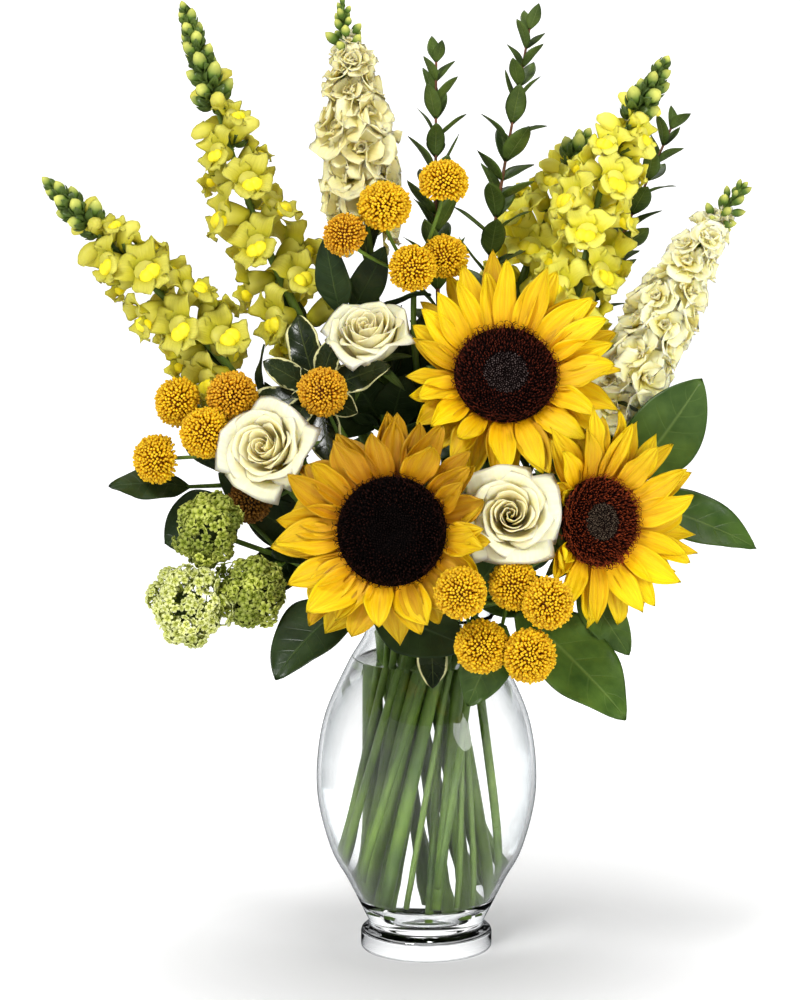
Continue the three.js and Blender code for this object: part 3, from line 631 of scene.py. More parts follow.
@dataclass(frozen=True)
class Leaf:
    """A leaf's finish: blade, paler midrib and side veins, and a margin where it has one."""

    name: str
    blade: Colour
    dark: Colour
    vein: Colour
    margin: Colour | None = None
    side_veins: float = 6.0
    vein_share: float = 0.6
    roughness: float = 0.38
    margin_start: float = 0.74

    def material(self) -> bpy.types.Material:
        """Builds the finish.

        Returns:
            The material.
        """
        s = Shader(self.name)
        along, across, tint = s.value("along"), s.value("across"), s.value("tint")
        side = s.math("ABSOLUTE", across)
        patch = s.noise(s.place(), 60.0, 4.0)
        colour = s.mix(s.span(patch, 0.3, 0.7), self.dark, self.blade)
        colour = s.mix(s.math("MULTIPLY", tint, 0.35), colour, self.dark)
        rise = s.math("SUBTRACT", s.math("MULTIPLY", along, self.side_veins), s.math("MULTIPLY", side, 1.3))
        wave = s.math("ABSOLUTE", s.math("SUBTRACT", s.math("FRACT", rise), 0.5))
        side_vein = s.math("MULTIPLY", s.span(wave, 0.0, 0.06, 1.0, 0.0), s.span(side, 0.1, 0.8, 0.5, 0.08))
        midrib = s.span(side, 0.01, 0.05, 1.0, 0.0)
        vein = s.math("MAXIMUM", midrib, side_vein)
        net = s.noise(s.place(), 500.0, 2.0)
        colour = s.mix(s.math("MULTIPLY", vein, self.vein_share), colour, self.vein)
        if self.margin:
            edge = s.noise(s.combine(s.math("MULTIPLY", along, 3.0), side, tint), 4.0, 3.0)
            place = s.math("ADD", side, s.math("MULTIPLY", s.math("SUBTRACT", edge, 0.5), 0.5))
            colour = s.mix(s.span(place, self.margin_start, self.margin_start + 0.08), colour, self.margin)
        s.set(Base_Color=colour, Roughness=s.span(patch, 0.2, 0.8, self.roughness - 0.06, self.roughness + 0.1))
        s.set(Specular_IOR_Level=0.5)
        height = s.math("SUBTRACT", s.math("MULTIPLY", net, 0.35), s.math("MULTIPLY", vein, 0.8))
        s.bump(height, 0.5, 0.8)
        return s.material


@dataclass(frozen=True)
class Bark:
    """A stem's finish: lengthwise fibres and a slow change of colour."""

    name: str
    light: Colour
    dark: Colour
    roughness: float = 0.45
    depth: float = 0.25
    low: Colour | None = None

    def material(self) -> bpy.types.Material:
        """Builds the finish.

        Returns:
            The material.
        """
        s = Shader(self.name)
        place = s.add("ShaderNodeMapping", (s.place(),))
        place.inputs["Scale"].default_value = (1.0, 1.0, 0.12)
        fibre = s.noise(place.outputs[0], 900.0, 3.0)
        patch = s.noise(s.place(), 22.0, 3.0)
        colour = s.mix(s.span(patch, 0.3, 0.7), self.dark, self.light)
        colour = s.mix(s.math("MULTIPLY", s.span(fibre, 0.4, 0.7), 0.35), colour, self.dark)
        if self.low:
            height = s.add("ShaderNodeSeparateXYZ", (s.place(),)).outputs[2]
            colour = s.mix(s.span(height, 0.24, 0.34), self.low, colour)
        s.set(Base_Color=colour, Roughness=s.span(fibre, 0.3, 0.7, self.roughness - 0.08, self.roughness + 0.1))
        s.set(Subsurface_Weight=0.05, Subsurface_Radius=(0.5, 1.0, 0.3), Subsurface_Scale=2 * MM)
        s.bump(fibre, self.depth)
        return s.material


@dataclass(frozen=True)
class Floret:
    """A small floret's finish: from a dark colour deep in the head, partly its own and partly painted shade, to its
    open end.
    """

    name: str
    deep: Colour
    body: Colour
    tip: Colour
    stops: tuple[float, float] = (0.35, 0.8)
    vary: float = 0.5
    roughness: float = 0.6
    gloss: float = 0.3

    def material(self) -> bpy.types.Material:
        """Builds the finish.

        Returns:
            The material.
        """
        s = Shader(self.name)
        low, high = self.stops
        colour = s.ramp(s.value("along"), ((0.0, self.deep), (low, self.body), (high, self.tip)))
        patch = s.noise(s.place(), 300.0, 2.0)
        colour = s.mix(s.math("MULTIPLY", s.value("tint"), self.vary), colour, self.deep)
        colour = s.mix(s.math("MULTIPLY", s.span(patch, 0.4, 0.75), 0.3), colour, self.body)
        s.set(Base_Color=colour, Roughness=self.roughness, Specular_IOR_Level=self.gloss)
        s.bump(patch, 0.15)
        return s.material


@dataclass(frozen=True)
class Seed(Floret):
    """A seed head's floret, dark and matt."""

    vary: float = 0.8
    roughness: float = 0.8
    gloss: float = 0.08


@dataclass(frozen=True)
class Clear:
    """Glass or water: see-through, with the faint unevenness that such a surface has, and painted dark reflections at
    its edges.
    """

    name: str
    colour: Colour
    rim: Colour
    ior: float
    wave: float
    depth: float
    rim_from: float = 0.35
    mirror: float = 0.3

    def material(self) -> bpy.types.Material:
        """Builds the finish.

        Returns:
            The material.
        """
        s = Shader(self.name)
        # Painted reflection: edge-on parts of the surface darken towards the rim colour, for dark surroundings seen in
        # it.
        rim = s.add("ShaderNodeLayerWeight", (0.5,)).outputs["Facing"]
        colour = s.ramp(rim, ((0.0, self.colour), (self.rim_from, self.colour), (1.0, self.rim)))
        s.set(Base_Color=colour, Roughness=0.0, IOR=self.ior, Transmission_Weight=1.0,
              Specular_IOR_Level=self.mirror)
        s.bump(s.noise(s.place(), self.wave, 2.0), self.depth, 0.4)
        return s.material


class Look(Enum):
    """Every finish of the bouquet, with its record slot."""

    # The rays' painted shade darkens them towards a dull brown.
    RAY = ("petal", Petal("sunflower_ray", rgb(244, 160, 2), rgb(255, 206, 0), rgb(255, 226, 8), rgb(226, 142, 10),
                          (0.34, 0.8), veins=6.0, vein_share=0.45, depth=0.5, translucence=0.2, mottle=0.12,
                          shading=0.75, dim=rgb(150, 104, 40)))
    SEED_TOP = ("seed", Seed("brown_florets", rgb(10, 4, 4), rgb(38, 14, 10), rgb(112, 46, 28), (0.5, 1.0)))
    EYE_TOP = ("seed", Seed("brown_eye", rgb(8, 4, 4), rgb(22, 12, 12), rgb(120, 104, 100), (0.6, 1.0), 0.95))
    SEED_LEFT = ("seed", Seed("black_florets", rgb(6, 3, 3), rgb(18, 8, 7), rgb(58, 26, 18), (0.5, 1.0), 0.9))
    EYE_LEFT = ("seed", Seed("black_eye", rgb(5, 3, 3), rgb(12, 7, 6), rgb(34, 20, 16), (0.6, 1.0), 0.9))
    SEED_RIGHT = ("seed", Seed("red_florets", rgb(14, 5, 4), rgb(62, 18, 12), rgb(170, 74, 34), (0.55, 1.0)))
    EYE_RIGHT = ("seed", Seed("grey_eye", rgb(10, 6, 6), rgb(36, 22, 20), rgb(128, 112, 92), (0.6, 1.0)))
    STEM = ("stem", Bark("green_stem", rgb(112, 142, 48), rgb(54, 80, 26)))
    CALYX = ("stem", Leaf("green_sepal", rgb(98, 122, 48), rgb(52, 72, 28), rgb(134, 156, 80)))
    ROSE = ("cream", Petal("rose_petal", rgb(220, 192, 92), rgb(246, 234, 174), rgb(252, 245, 204),
                           rgb(226, 204, 122), veins=9.0, vein_share=0.16, depth=0.1, roughness=0.5,
                           translucence=0.45, mottle=0.1, shading=0.5))
    STOCK = ("cream", Petal("stock_petal", rgb(222, 194, 52), rgb(253, 240, 146), rgb(255, 252, 210),
                            rgb(236, 212, 100), veins=6.0, vein_share=0.2, depth=0.2, translucence=0.45))
    STRAW = ("cream", Petal("straw_petal", rgb(180, 160, 52), rgb(226, 212, 128), rgb(248, 240, 190),
                            rgb(206, 184, 84), veins=6.0, vein_share=0.25, depth=0.2, translucence=0.4,
                            shading=0.6))
    LIP = ("lemon", Petal("snapdragon_lip", rgb(172, 176, 52), rgb(226, 216, 46), rgb(242, 236, 108),
                          rgb(196, 182, 28), veins=8.0, vein_share=0.25, depth=0.3, translucence=0.3))
    # A darker copy of the lip, with more painted shade, for spikes that lie in shade.
    DULL_LIP = ("lemon", Petal("shaded_lip", rgb(146, 152, 42), rgb(198, 190, 40), rgb(218, 212, 92),
                               rgb(150, 142, 22), veins=8.0, vein_share=0.3, depth=0.3, translucence=0.22,
                               shading=0.6))
    PALATE = ("lemon", Petal("snapdragon_palate", rgb(230, 204, 14), rgb(247, 228, 16), rgb(250, 236, 48),
                             rgb(228, 184, 8), veins=4.0, depth=0.25))
    BUD = ("lemon", Floret("flower_bud", rgb(48, 74, 26), rgb(94, 122, 42), rgb(214, 214, 104), (0.5, 0.88)))
    QUILL = ("button", Floret("button_quill", rgb(158, 88, 4), rgb(234, 178, 8), rgb(252, 222, 38), (0.5, 0.92), 0.45))
    AMBER = ("button", Floret("amber_quill", rgb(136, 70, 4), rgb(222, 152, 12), rgb(246, 202, 44), (0.45, 0.92), 0.5))
    # A darker copy of the quills for a head that lies in shade: painted shade.
    RUSSET = ("button", Floret("russet_quill", rgb(54, 30, 8), rgb(124, 80, 22), rgb(176, 124, 44), (0.45, 0.92), 0.5))
    LIME = ("lime", Floret("lime_floret", rgb(62, 84, 14), rgb(168, 180, 50), rgb(228, 234, 122), (0.35, 0.92), 0.8))
    # A paler copy of the lime florets for heads in the light: painted light.
    PALE_LIME = ("lime", Floret("pale_lime_floret", rgb(112, 130, 30), rgb(208, 214, 94), rgb(246, 248, 182),
                                (0.3, 0.88), 0.5))
    # The cores' dark green is partly the stalks and partly painted shade between the clusters.
    LIME_CORE = ("lime", Bark("lime_core", rgb(62, 80, 28), rgb(26, 38, 12)))
    LEAF = ("leaf", Leaf("dark_leaf", rgb(48, 68, 30), rgb(26, 42, 20), rgb(84, 106, 56), side_veins=9.0,
                         vein_share=0.3))
    SALAL = ("leaf", Leaf("bright_leaf", rgb(84, 112, 40), rgb(52, 78, 28), rgb(132, 154, 78), side_veins=7.0,
                          vein_share=0.3))
    MYRTLE = ("leaf", Leaf("myrtle_leaf", rgb(90, 112, 44), rgb(44, 62, 24), rgb(132, 148, 78), side_veins=9.0,
                           vein_share=0.4))
    TWIG = ("leaf", Bark("red_twig", rgb(138, 84, 58), rgb(84, 56, 36), low=rgb(96, 122, 50)))
    EDGED = ("leaf", Leaf("edged_leaf", rgb(48, 60, 30), rgb(24, 34, 18), rgb(104, 114, 64),
                          rgb(224, 220, 158), vein_share=0.4, roughness=0.24, margin_start=0.8))
    WATER = ("water", Clear("still_water", (1.0, 1.0, 1.0), (0.72, 0.76, 0.76), 1.33, 60.0, 0.02,
                            mirror=0.1))
    GLASS = ("glass", Clear("clear_glass", (0.985, 0.99, 0.99), (0.2, 0.24, 0.27), 1.28, 40.0, 0.03,
                            mirror=0.16))
    # The foot's edges take a nearly black colour: painted dark reflections in its thick glass.
    FOOT = ("glass", Clear("foot_glass", (0.97, 0.98, 0.985), (0.03, 0.04, 0.06), 1.5, 70.0, 0.3, 0.1))

    def __init__(self, slot: str, finish: Petal | Leaf | Bark | Floret | Clear) -> None:
        """Keeps the slot and the finish apart."""
        self.slot = slot
        self.finish = finish

    def material(self) -> bpy.types.Material:
        """The finish's material, built the first time that it is asked for."""
        return bpy.data.materials.get(self.finish.name) or self.finish.material()


# ---- node trees ----
class Draw(Enum):
    """What each random choice adds to its tree's seed, so that no two of them draw alike."""

    SLANT = 11
    GROWTH = 12
    HEIGHT = 21
    HEAD_SIZE = 22
    TURN_X = 23
    TURN_Y = 24
    SHAKE_X = 31
    SHAKE_Y = 32
    SHAKE_Z = 33
    TINT = 91


class Tree:
    """A Geometry Nodes tree in the making, with named inputs."""

    def __init__(self, name: str, inputs: dict[str, tuple[str, object]]) -> None:
        """Starts a tree.

        Args:
            name: The tree's name.
            inputs: Each input's name, with its kind of socket and its first value.
        """
        self.group = bpy.data.node_groups.new(name, "GeometryNodeTree")
        self.group.interface.new_socket("Geometry", in_out="OUTPUT", socket_type="NodeSocketGeometry")
        self.ids: dict[str, str] = {}
        for key, (kind, value) in inputs.items():
            item = self.group.interface.new_socket(key, in_out="INPUT", socket_type=f"NodeSocket{kind}")
            if value is not None:
                item.default_value = value
            self.ids[key] = item.identifier
        self.source = self.group.nodes.new("NodeGroupInput")
        self.result = self.group.nodes.new("NodeGroupOutput")

    def ask(self, name: str) -> Socket:
        """One of the tree's own inputs."""
        return self.source.outputs[name]

    def add(self, kind: str, inputs: dict[object, object] | None = None, **settings: object) -> bpy.types.Node:
        """Adds a node. An input, by name or number, is a socket to link or a constant to set.

        Args:
            kind: The node's type.
            inputs: What goes into its sockets.
            settings: The node's own options.

        Returns:
            The node.
        """
        node = self.group.nodes.new(kind)
        for key, value in settings.items():
            setattr(node, key, value)
        for key, value in (inputs or {}).items():
            socket = node.inputs[key]
            if isinstance(value, bpy.types.NodeSocket):
                self.group.links.new(value, socket)
            else:
                socket.default_value = value
        return node

    def math(self, operation: str, a: object, b: object = 0.0, c: object = 0.0) -> Socket:
        """A sum of numbers."""
        return self.add("ShaderNodeMath", {0: a, 1: b, 2: c}, operation=operation).outputs[0]

    def blend(self, low: object, high: object, share: Socket) -> Socket:
        """The number a share of the way from low to high."""
        return self.math("MULTIPLY_ADD", self.math("SUBTRACT", high, low), share, low)

    def vector(self, operation: str, a: object, b: object = (0.0, 0.0, 0.0)) -> Socket:
        """A sum of vectors."""
        return self.add("ShaderNodeVectorMath", {0: a, 1: b}, operation=operation).outputs[0]

    def scaled(self, vector: object, by: Socket) -> Socket:
        """A vector times a number."""
        node = self.add("ShaderNodeVectorMath", {0: vector, "Scale": by}, operation="SCALE")
        return node.outputs[0]

    def combine(self, x: object, y: object, z: object) -> Socket:
        """A vector of three numbers."""
        return self.add("ShaderNodeCombineXYZ", {0: x, 1: y, 2: z}).outputs[0]

    def random(self, draw: Draw, low: float = -1.0, high: float = 1.0) -> Socket:
        """A random number for each point, from the tree's seed.

        Args:
            draw: The choice that it is for.
            low: The least.
            high: The most.

        Returns:
            The number's socket.
        """
        own = self.math("ADD", self.ask("Seed"), float(draw.value))
        node = self.add("FunctionNodeRandomValue", {2: low, 3: high, 8: own}, data_type="FLOAT")
        return node.outputs[1]

    def aimed(self, x: Socket, z: Socket) -> Socket:
        """The turn that points X one way, and Z as near as it can another."""
        sockets = {0: x, 1: z}
        return self.add("FunctionNodeAxesToRotation", sockets, primary_axis="X", secondary_axis="Z").outputs[0]

    def planted(self, points: Socket, rotation: Socket, size: Socket) -> None:
        """Ends the tree: a template stands on each point, and all become one mesh of one material.

        Args:
            points: The points.
            rotation: Each template's turn.
            size: Each template's scale.
        """
        kinds = self.add("GeometryNodeCollectionInfo", {0: self.ask("Templates"), 1: True, 2: True})
        last = self.math("SUBTRACT", self.ask("Kinds"), 1.0)
        pick = self.add("FunctionNodeRandomValue", {4: 0, 5: last, 8: self.ask("Seed")}, data_type="INT")
        sockets = {"Points": points, "Instance": kinds.outputs[0], "Pick Instance": True}
        sockets |= {"Instance Index": pick.outputs[2], "Rotation": rotation, "Scale": size}
        stand = self.add("GeometryNodeInstanceOnPoints", sockets)
        tint = self.random(Draw.TINT, 0.0)
        named = {"Geometry": stand.outputs[0], "Name": "tint", "Value": tint}
        marked = self.add("GeometryNodeStoreNamedAttribute", named, data_type="FLOAT", domain="INSTANCE")
        real = self.add("GeometryNodeRealizeInstances", {0: marked.outputs[0]})
        self.dressed(real.outputs[0])

    def head_points(self) -> tuple[Socket, Socket, Socket]:
        """As many points as the tree's count says.

        Returns:
            The points, their numbers, and each one's share of the count.
        """
        points = self.add("GeometryNodePoints", {"Count": self.ask("Count")}).outputs[0]
        index = self.add("GeometryNodeInputIndex").outputs[0]
        return points, index, self.math("DIVIDE", self.math("ADD", index, 0.5), self.ask("Count"))

    def planted_on_head(self, points: Socket, place: Socket, normal: Socket, tangent: Socket, out: Socket) -> None:
        """Ends the tree of a flower head, with a little lean and a change of size from its middle outwards.

        Args:
            points: The points.
            place: Where each goes.
            normal: The way that each template grows.
            tangent: The way that its Z looks.
            out: How far out it is, from 0 to 1.
        """
        shake = self.combine(*(self.random(draw) for draw in (Draw.SHAKE_X, Draw.SHAKE_Y, Draw.SHAKE_Z)))
        normal = self.vector("ADD", normal, self.scaled(shake, self.ask("Lean")))
        size = self.blend(self.ask("Inner Size"), self.ask("Outer Size"), out)
        spread = self.math("MULTIPLY_ADD", self.random(Draw.HEAD_SIZE), self.ask("Vary"), 1.0)
        placed = self.add("GeometryNodeSetPosition", {"Geometry": points, "Position": place})
        self.planted(placed.outputs[0], self.aimed(normal, tangent), self.math("MULTIPLY", size, spread))

    def dressed(self, geometry: Socket) -> None:
        """Gives the geometry the tree's material and hands it out.

        Args:
            geometry: The geometry.
        """
        inputs = {"Geometry": geometry, "Material": self.ask("Finish")}
        made = self.add("GeometryNodeSetMaterial", inputs)
        self.group.links.new(made.outputs[0], self.result.inputs[0])

    def run(self, name: str, templates: Sequence[Form] = (), **values: object) -> bpy.types.Mesh:
        """Runs the tree once and gives its plain mesh.

        Args:
            name: The new mesh's name.
            templates: The forms that the tree plants.
            values: The tree's inputs by name, with an underscore for a space.

        Returns:
            The mesh, with no modifier or instance left.
        """
        carrier = bpy.data.objects.new(name, bpy.data.meshes.new(name))
        bpy.context.scene.collection.objects.link(carrier)
        store = bpy.data.collections.new(f"{name}_templates")
        for i, form in enumerate(templates):
            store.objects.link(bpy.data.objects.new(f"{name}_template_{i:02d}", form.mesh(f"{name}_template")))
        if templates:
            values |= {"Templates": store, "Kinds": len(templates)}
        modifier = carrier.modifiers.new("tree", "NODES")
        modifier.node_group = self.group
        for key, value in values.items():
            modifier[self.ids[key.replace("_", " ")]] = value
        carrier.update_tag()
        graph = bpy.context.evaluated_depsgraph_get()
        graph.update()
        mesh = bpy.data.meshes.new_from_object(carrier.evaluated_get(graph))
        for spare in list(store.objects):
            bpy.data.objects.remove(spare)
        bpy.data.collections.remove(store)
        bpy.data.objects.remove(carrier)
        mesh.name = name
        return mesh


TEMPLATE_INPUTS = {
    "Templates": ("Collection", None),
    "Kinds": ("Int", 1),
    "Finish": ("Material", None),
    "Seed": ("Int", 1),
}


def spiral_tree() -> Tree:
    """Templates set round a stem and along it, from near its tip down.

    Returns:
        The tree. Distances are metres back from the stem's tip; turns and slants are radians.
    """
    tree = Tree("spiral_along_stem", TEMPLATE_INPUTS | {
        "Stem": ("Object", None),
        "Count": ("Int", 10),
        "First": ("Float", 0.005),
        "Last": ("Float", 0.1),
        "Start": ("Float", 0.0),
        "Step": ("Float", math.radians(GOLDEN_ANGLE)),
        "Tip Slant": ("Float", 0.6),
        "Low Slant": ("Float", 1.2),
        "Lean": ("Float", 0.05),
        "Tip Size": ("Float", 0.6),
        "Low Size": ("Float", 1.0),
        "Full At": ("Float", 0.5),
        "Vary": ("Float", 0.06),
    })
    points = tree.add("GeometryNodePoints", {"Count": tree.ask("Count")}).outputs[0]
    index = tree.add("GeometryNodeInputIndex").outputs[0]
    share = tree.math("DIVIDE", index, tree.math("SUBTRACT", tree.ask("Count"), 1.0))
    stem = tree.add("GeometryNodeObjectInfo", {0: tree.ask("Stem")}).outputs["Geometry"]
    length = tree.add("GeometryNodeCurveLength", {0: stem}).outputs[0]
    back = tree.blend(tree.ask("First"), tree.ask("Last"), share)
    inputs = {"Curves": stem, "Length": tree.math("SUBTRACT", length, back)}
    sample = tree.add("GeometryNodeSampleCurve", inputs, mode="LENGTH", use_all_curves=True)
    up = sample.outputs["Tangent"]
    height = tree.add("ShaderNodeSeparateXYZ", {0: up}).outputs[1]
    side = tree.vector("NORMALIZE", tree.vector("ADD", (0.0, -1.0, 0.0), tree.scaled(up, height)))
    angle = tree.math("MULTIPLY_ADD", index, tree.ask("Step"), tree.ask("Start"))
    turn = {"Vector": side, "Axis": up, "Angle": angle}
    out = tree.add("ShaderNodeVectorRotate", turn, rotation_type="AXIS_ANGLE").outputs[0]
    lean = tree.math("MULTIPLY", tree.random(Draw.SLANT), tree.ask("Lean"))
    slant = tree.math("ADD", tree.blend(tree.ask("Tip Slant"), tree.ask("Low Slant"), share), lean)
    upward = tree.scaled(up, tree.math("COSINE", slant))
    way = tree.vector("ADD", upward, tree.scaled(out, tree.math("SINE", slant)))
    grown = tree.math("MINIMUM", tree.math("DIVIDE", share, tree.ask("Full At")), 1.0)
    size = tree.blend(tree.ask("Tip Size"), tree.ask("Low Size"), grown)
    spread = tree.math("MULTIPLY_ADD", tree.random(Draw.GROWTH), tree.ask("Vary"), 1.0)
    placed = tree.add("GeometryNodeSetPosition", {"Geometry": points, "Position": sample.outputs["Position"]})
    tree.planted(placed.outputs[0], tree.aimed(way, up), tree.math("MULTIPLY", size, spread))
    return tree


def dome_tree() -> Tree:
    """Templates set evenly over a dome by the golden angle, each looking straight out of it.

    Returns:
        The tree. The dome is a ball flattened along Z, covered from its front pole to an angle.
    """
    tree = Tree("florets_on_dome", TEMPLATE_INPUTS | {
        "Count": ("Int", 100),
        "Radius": ("Float", 0.014),
        "Flatness": ("Float", 0.8),
        "Cover": ("Float", 2.4),
        "Inner Size": ("Float", 0.8),
        "Outer Size": ("Float", 1.0),
        "Unevenness": ("Float", 0.03),
        "Vary": ("Float", 0.08),
        "Lean": ("Float", 0.1),
    })
    points, index, share = tree.head_points()
    fall = tree.math("SUBTRACT", 1.0, tree.math("COSINE", tree.ask("Cover")))
    level = tree.math("SUBTRACT", 1.0, tree.math("MULTIPLY", share, fall))
    reach = tree.math("SQRT", tree.math("SUBTRACT", 1.0, tree.math("MULTIPLY", level, level)))
    angle = tree.math("MULTIPLY", index, math.radians(GOLDEN_ANGLE))
    x = tree.math("MULTIPLY", reach, tree.math("COSINE", angle))
    y = tree.math("MULTIPLY", reach, tree.math("SINE", angle))
    flat = tree.ask("Flatness")
    uneven = tree.math("MULTIPLY_ADD", tree.random(Draw.HEIGHT), tree.ask("Unevenness"), 1.0)
    place = tree.combine(x, y, tree.math("MULTIPLY", level, flat))
    place = tree.scaled(place, tree.math("MULTIPLY", tree.ask("Radius"), uneven))
    normal = tree.vector("NORMALIZE", tree.combine(x, y, tree.math("DIVIDE", level, flat)))
    tangent = tree.combine(tree.random(Draw.TURN_X), tree.random(Draw.TURN_Y), 0.3)
    tree.planted_on_head(points, place, normal, tangent, share)
    return tree


def disc_tree() -> Tree:
    """Florets over a sunflower's disc, by the golden angle, on a low ring-shaped rise.

    Returns:
        The tree. Splay leans the florets outwards at the rim, by radians.
    """
    tree = Tree("florets_on_disc", TEMPLATE_INPUTS | {
        "Count": ("Int", 500),
        "Radius": ("Float", 0.03),
        "Rise": ("Float", 0.006),
        "From": ("Float", 0.0),
        "To": ("Float", 1.0),
        "Splay": ("Float", 0.9),
        "Inner Size": ("Float", 0.7),
        "Outer Size": ("Float", 1.1),
        "Vary": ("Float", 0.15),
        "Lean": ("Float", 0.12),
    })
    points, index, share = tree.head_points()
    area = tree.blend(tree.math("POWER", tree.ask("From"), 2.0), tree.math("POWER", tree.ask("To"), 2.0), share)
    reach = tree.math("SQRT", area)
    angle = tree.math("MULTIPLY", index, math.radians(GOLDEN_ANGLE))
    cosine, sine = tree.math("COSINE", angle), tree.math("SINE", angle)
    ring = tree.math("SINE", tree.math("MULTIPLY_ADD", reach, DISC_TURN, DISC_START))
    height = tree.math("MULTIPLY", ring, tree.ask("Rise"))
    radial = tree.math("MULTIPLY", reach, tree.ask("Radius"))
    place = tree.combine(tree.math("MULTIPLY", radial, cosine), tree.math("MULTIPLY", radial, sine), height)
    lean = tree.math("MULTIPLY", tree.math("POWER", reach, 3.0), tree.ask("Splay"))
    flat = tree.math("SINE", lean)
    normal = tree.combine(tree.math("MULTIPLY", flat, cosine), tree.math("MULTIPLY", flat, sine),
                          tree.math("COSINE", lean))
    tree.planted_on_head(points, place, normal, tree.combine(cosine, sine, 0.0), reach)
    return tree


class Trees:
    """The node trees, each built the first time that it is asked for."""

    MAKERS = {"spiral": spiral_tree, "dome": dome_tree, "disc": disc_tree}
    made: dict[str, Tree] = {}

    @classmethod
    def get(cls, name: str) -> Tree:
        """The tree of that name.

        Args:
            name: Its name in MAKERS.

        Returns:
            The tree.
        """
        if name not in cls.made:
            cls.made[name] = cls.MAKERS[name]()
        return cls.made[name]


# ---- pieces ----
def show(name: str, look: Look, made: Form | bpy.types.Mesh, *nodes: str) -> bpy.types.Object:
    """Puts a finished mesh into the scene as a piece of the bouquet.

    Args:
        name: The piece's name.
        look: Its finish.
        made: Its form, or its mesh where a node tree made it.
        nodes: The solids that it stands for.

    Returns:
        The piece.
    """
    mesh = made
    if isinstance(made, Form):
        mesh = made.mesh(name)
        mesh.materials.append(look.material())
    mesh.shade_smooth()
    piece = bpy.data.objects.new(name, mesh)
    bpy.context.scene.collection.objects.link(piece)
    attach(piece, "root")
    if nodes:
        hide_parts(*nodes)
    log.info("%s: %d faces", name, len(mesh.polygons))
    return piece


def put(mesh: bpy.types.Mesh, matrix: np.ndarray) -> bpy.types.Mesh:
    """Moves a mesh in metres by a matrix in millimetres.

    Args:
        mesh: The mesh.
        matrix: The matrix.

    Returns:
        The same mesh.
    """
    place = matrix.copy()
    place[:3, 3] *= MM
    mesh.transform(Matrix(place.tolist()))
    return mesh


@dataclass(frozen=True)
class Blade:
    """The shape of a petal or leaf. Angles are degrees, and lengths millimetres."""

    length: float
    width: float
    thick: float = 0.5
    root_width: float = 0.35
    widest: float = 0.5
    point: float = 0.8
    lift: float = 0.0
    curl: float = 0.0
    hook: float = 0.0
    side_bend: float = 0.0
    twist: float = 0.0
    cup: float = 0.15
    groove: float = 0.0
    grooves: float = 1.5
    wave: float = 0.0
    waves: float = 2.5
    phase: float = 0.0
    rows: int = 13
    cols: int = 9

    def outline(self, t: np.ndarray) -> np.ndarray:
        """Half the width's share at a share of the length.

        Args:
            t: Shares of the length.

        Returns:
            The half width's share at each.
        """
        grow = self.root_width + (1 - self.root_width) * np.sin(np.clip(t / self.widest, 0, 1) * math.pi / 2)
        fall = np.clip((t - self.widest) / (1 - self.widest), 0, 1)
        return np.where(t < self.widest, grow, np.maximum(1 - fall**2, 0) ** self.point)

    def form(self) -> Form:
        """The blade along X from its root at the origin, with its face to +Z.

        Returns:
            The closed form, with the values along and across.
        """
        t = np.linspace(0, 1, self.rows)
        slope = np.radians(self.lift + self.curl * t**1.3 + self.hook * smooth(0.7, 1, t))
        step = self.length / (self.rows - 1)
        mid = np.stack([np.cos(slope), np.sin(slope)], 1)
        line = np.concatenate([[[0, 0]], np.cumsum((mid[1:] + mid[:-1]) / 2 * step, axis=0)])
        v = -np.cos(np.linspace(0, math.pi, self.cols)) * 0.35 + np.linspace(-1, 1, self.cols) * 0.65
        half = np.maximum(self.width / 2 * self.outline(t), 0.15)[:, None]
        furrow = self.groove * np.cos(v * math.pi * self.grooves * 2) * smooth(0, 0.15, t * (1.02 - t))[:, None]
        raised = self.cup * half * v**2 - furrow
        ruffle = np.sin(2 * math.pi * (self.waves * t[:, None] + self.phase) + np.sign(v) * 0.8)
        raised = raised + self.wave * np.abs(v) ** 2.5 * ruffle * smooth(0, 0.3, t)[:, None]
        turn = np.radians(self.twist * t)[:, None]
        aside = half * v * np.cos(turn) - raised * np.sin(turn)
        above = half * v * np.sin(turn) + raised * np.cos(turn)
        bend = np.radians(self.side_bend) * self.length * t[:, None] ** 2
        x = line[:, :1] - np.sin(slope)[:, None] * above
        z = line[:, 1:] + np.cos(slope)[:, None] * above
        return shell(np.stack([x, aside + bend, z], -1), self.thick)


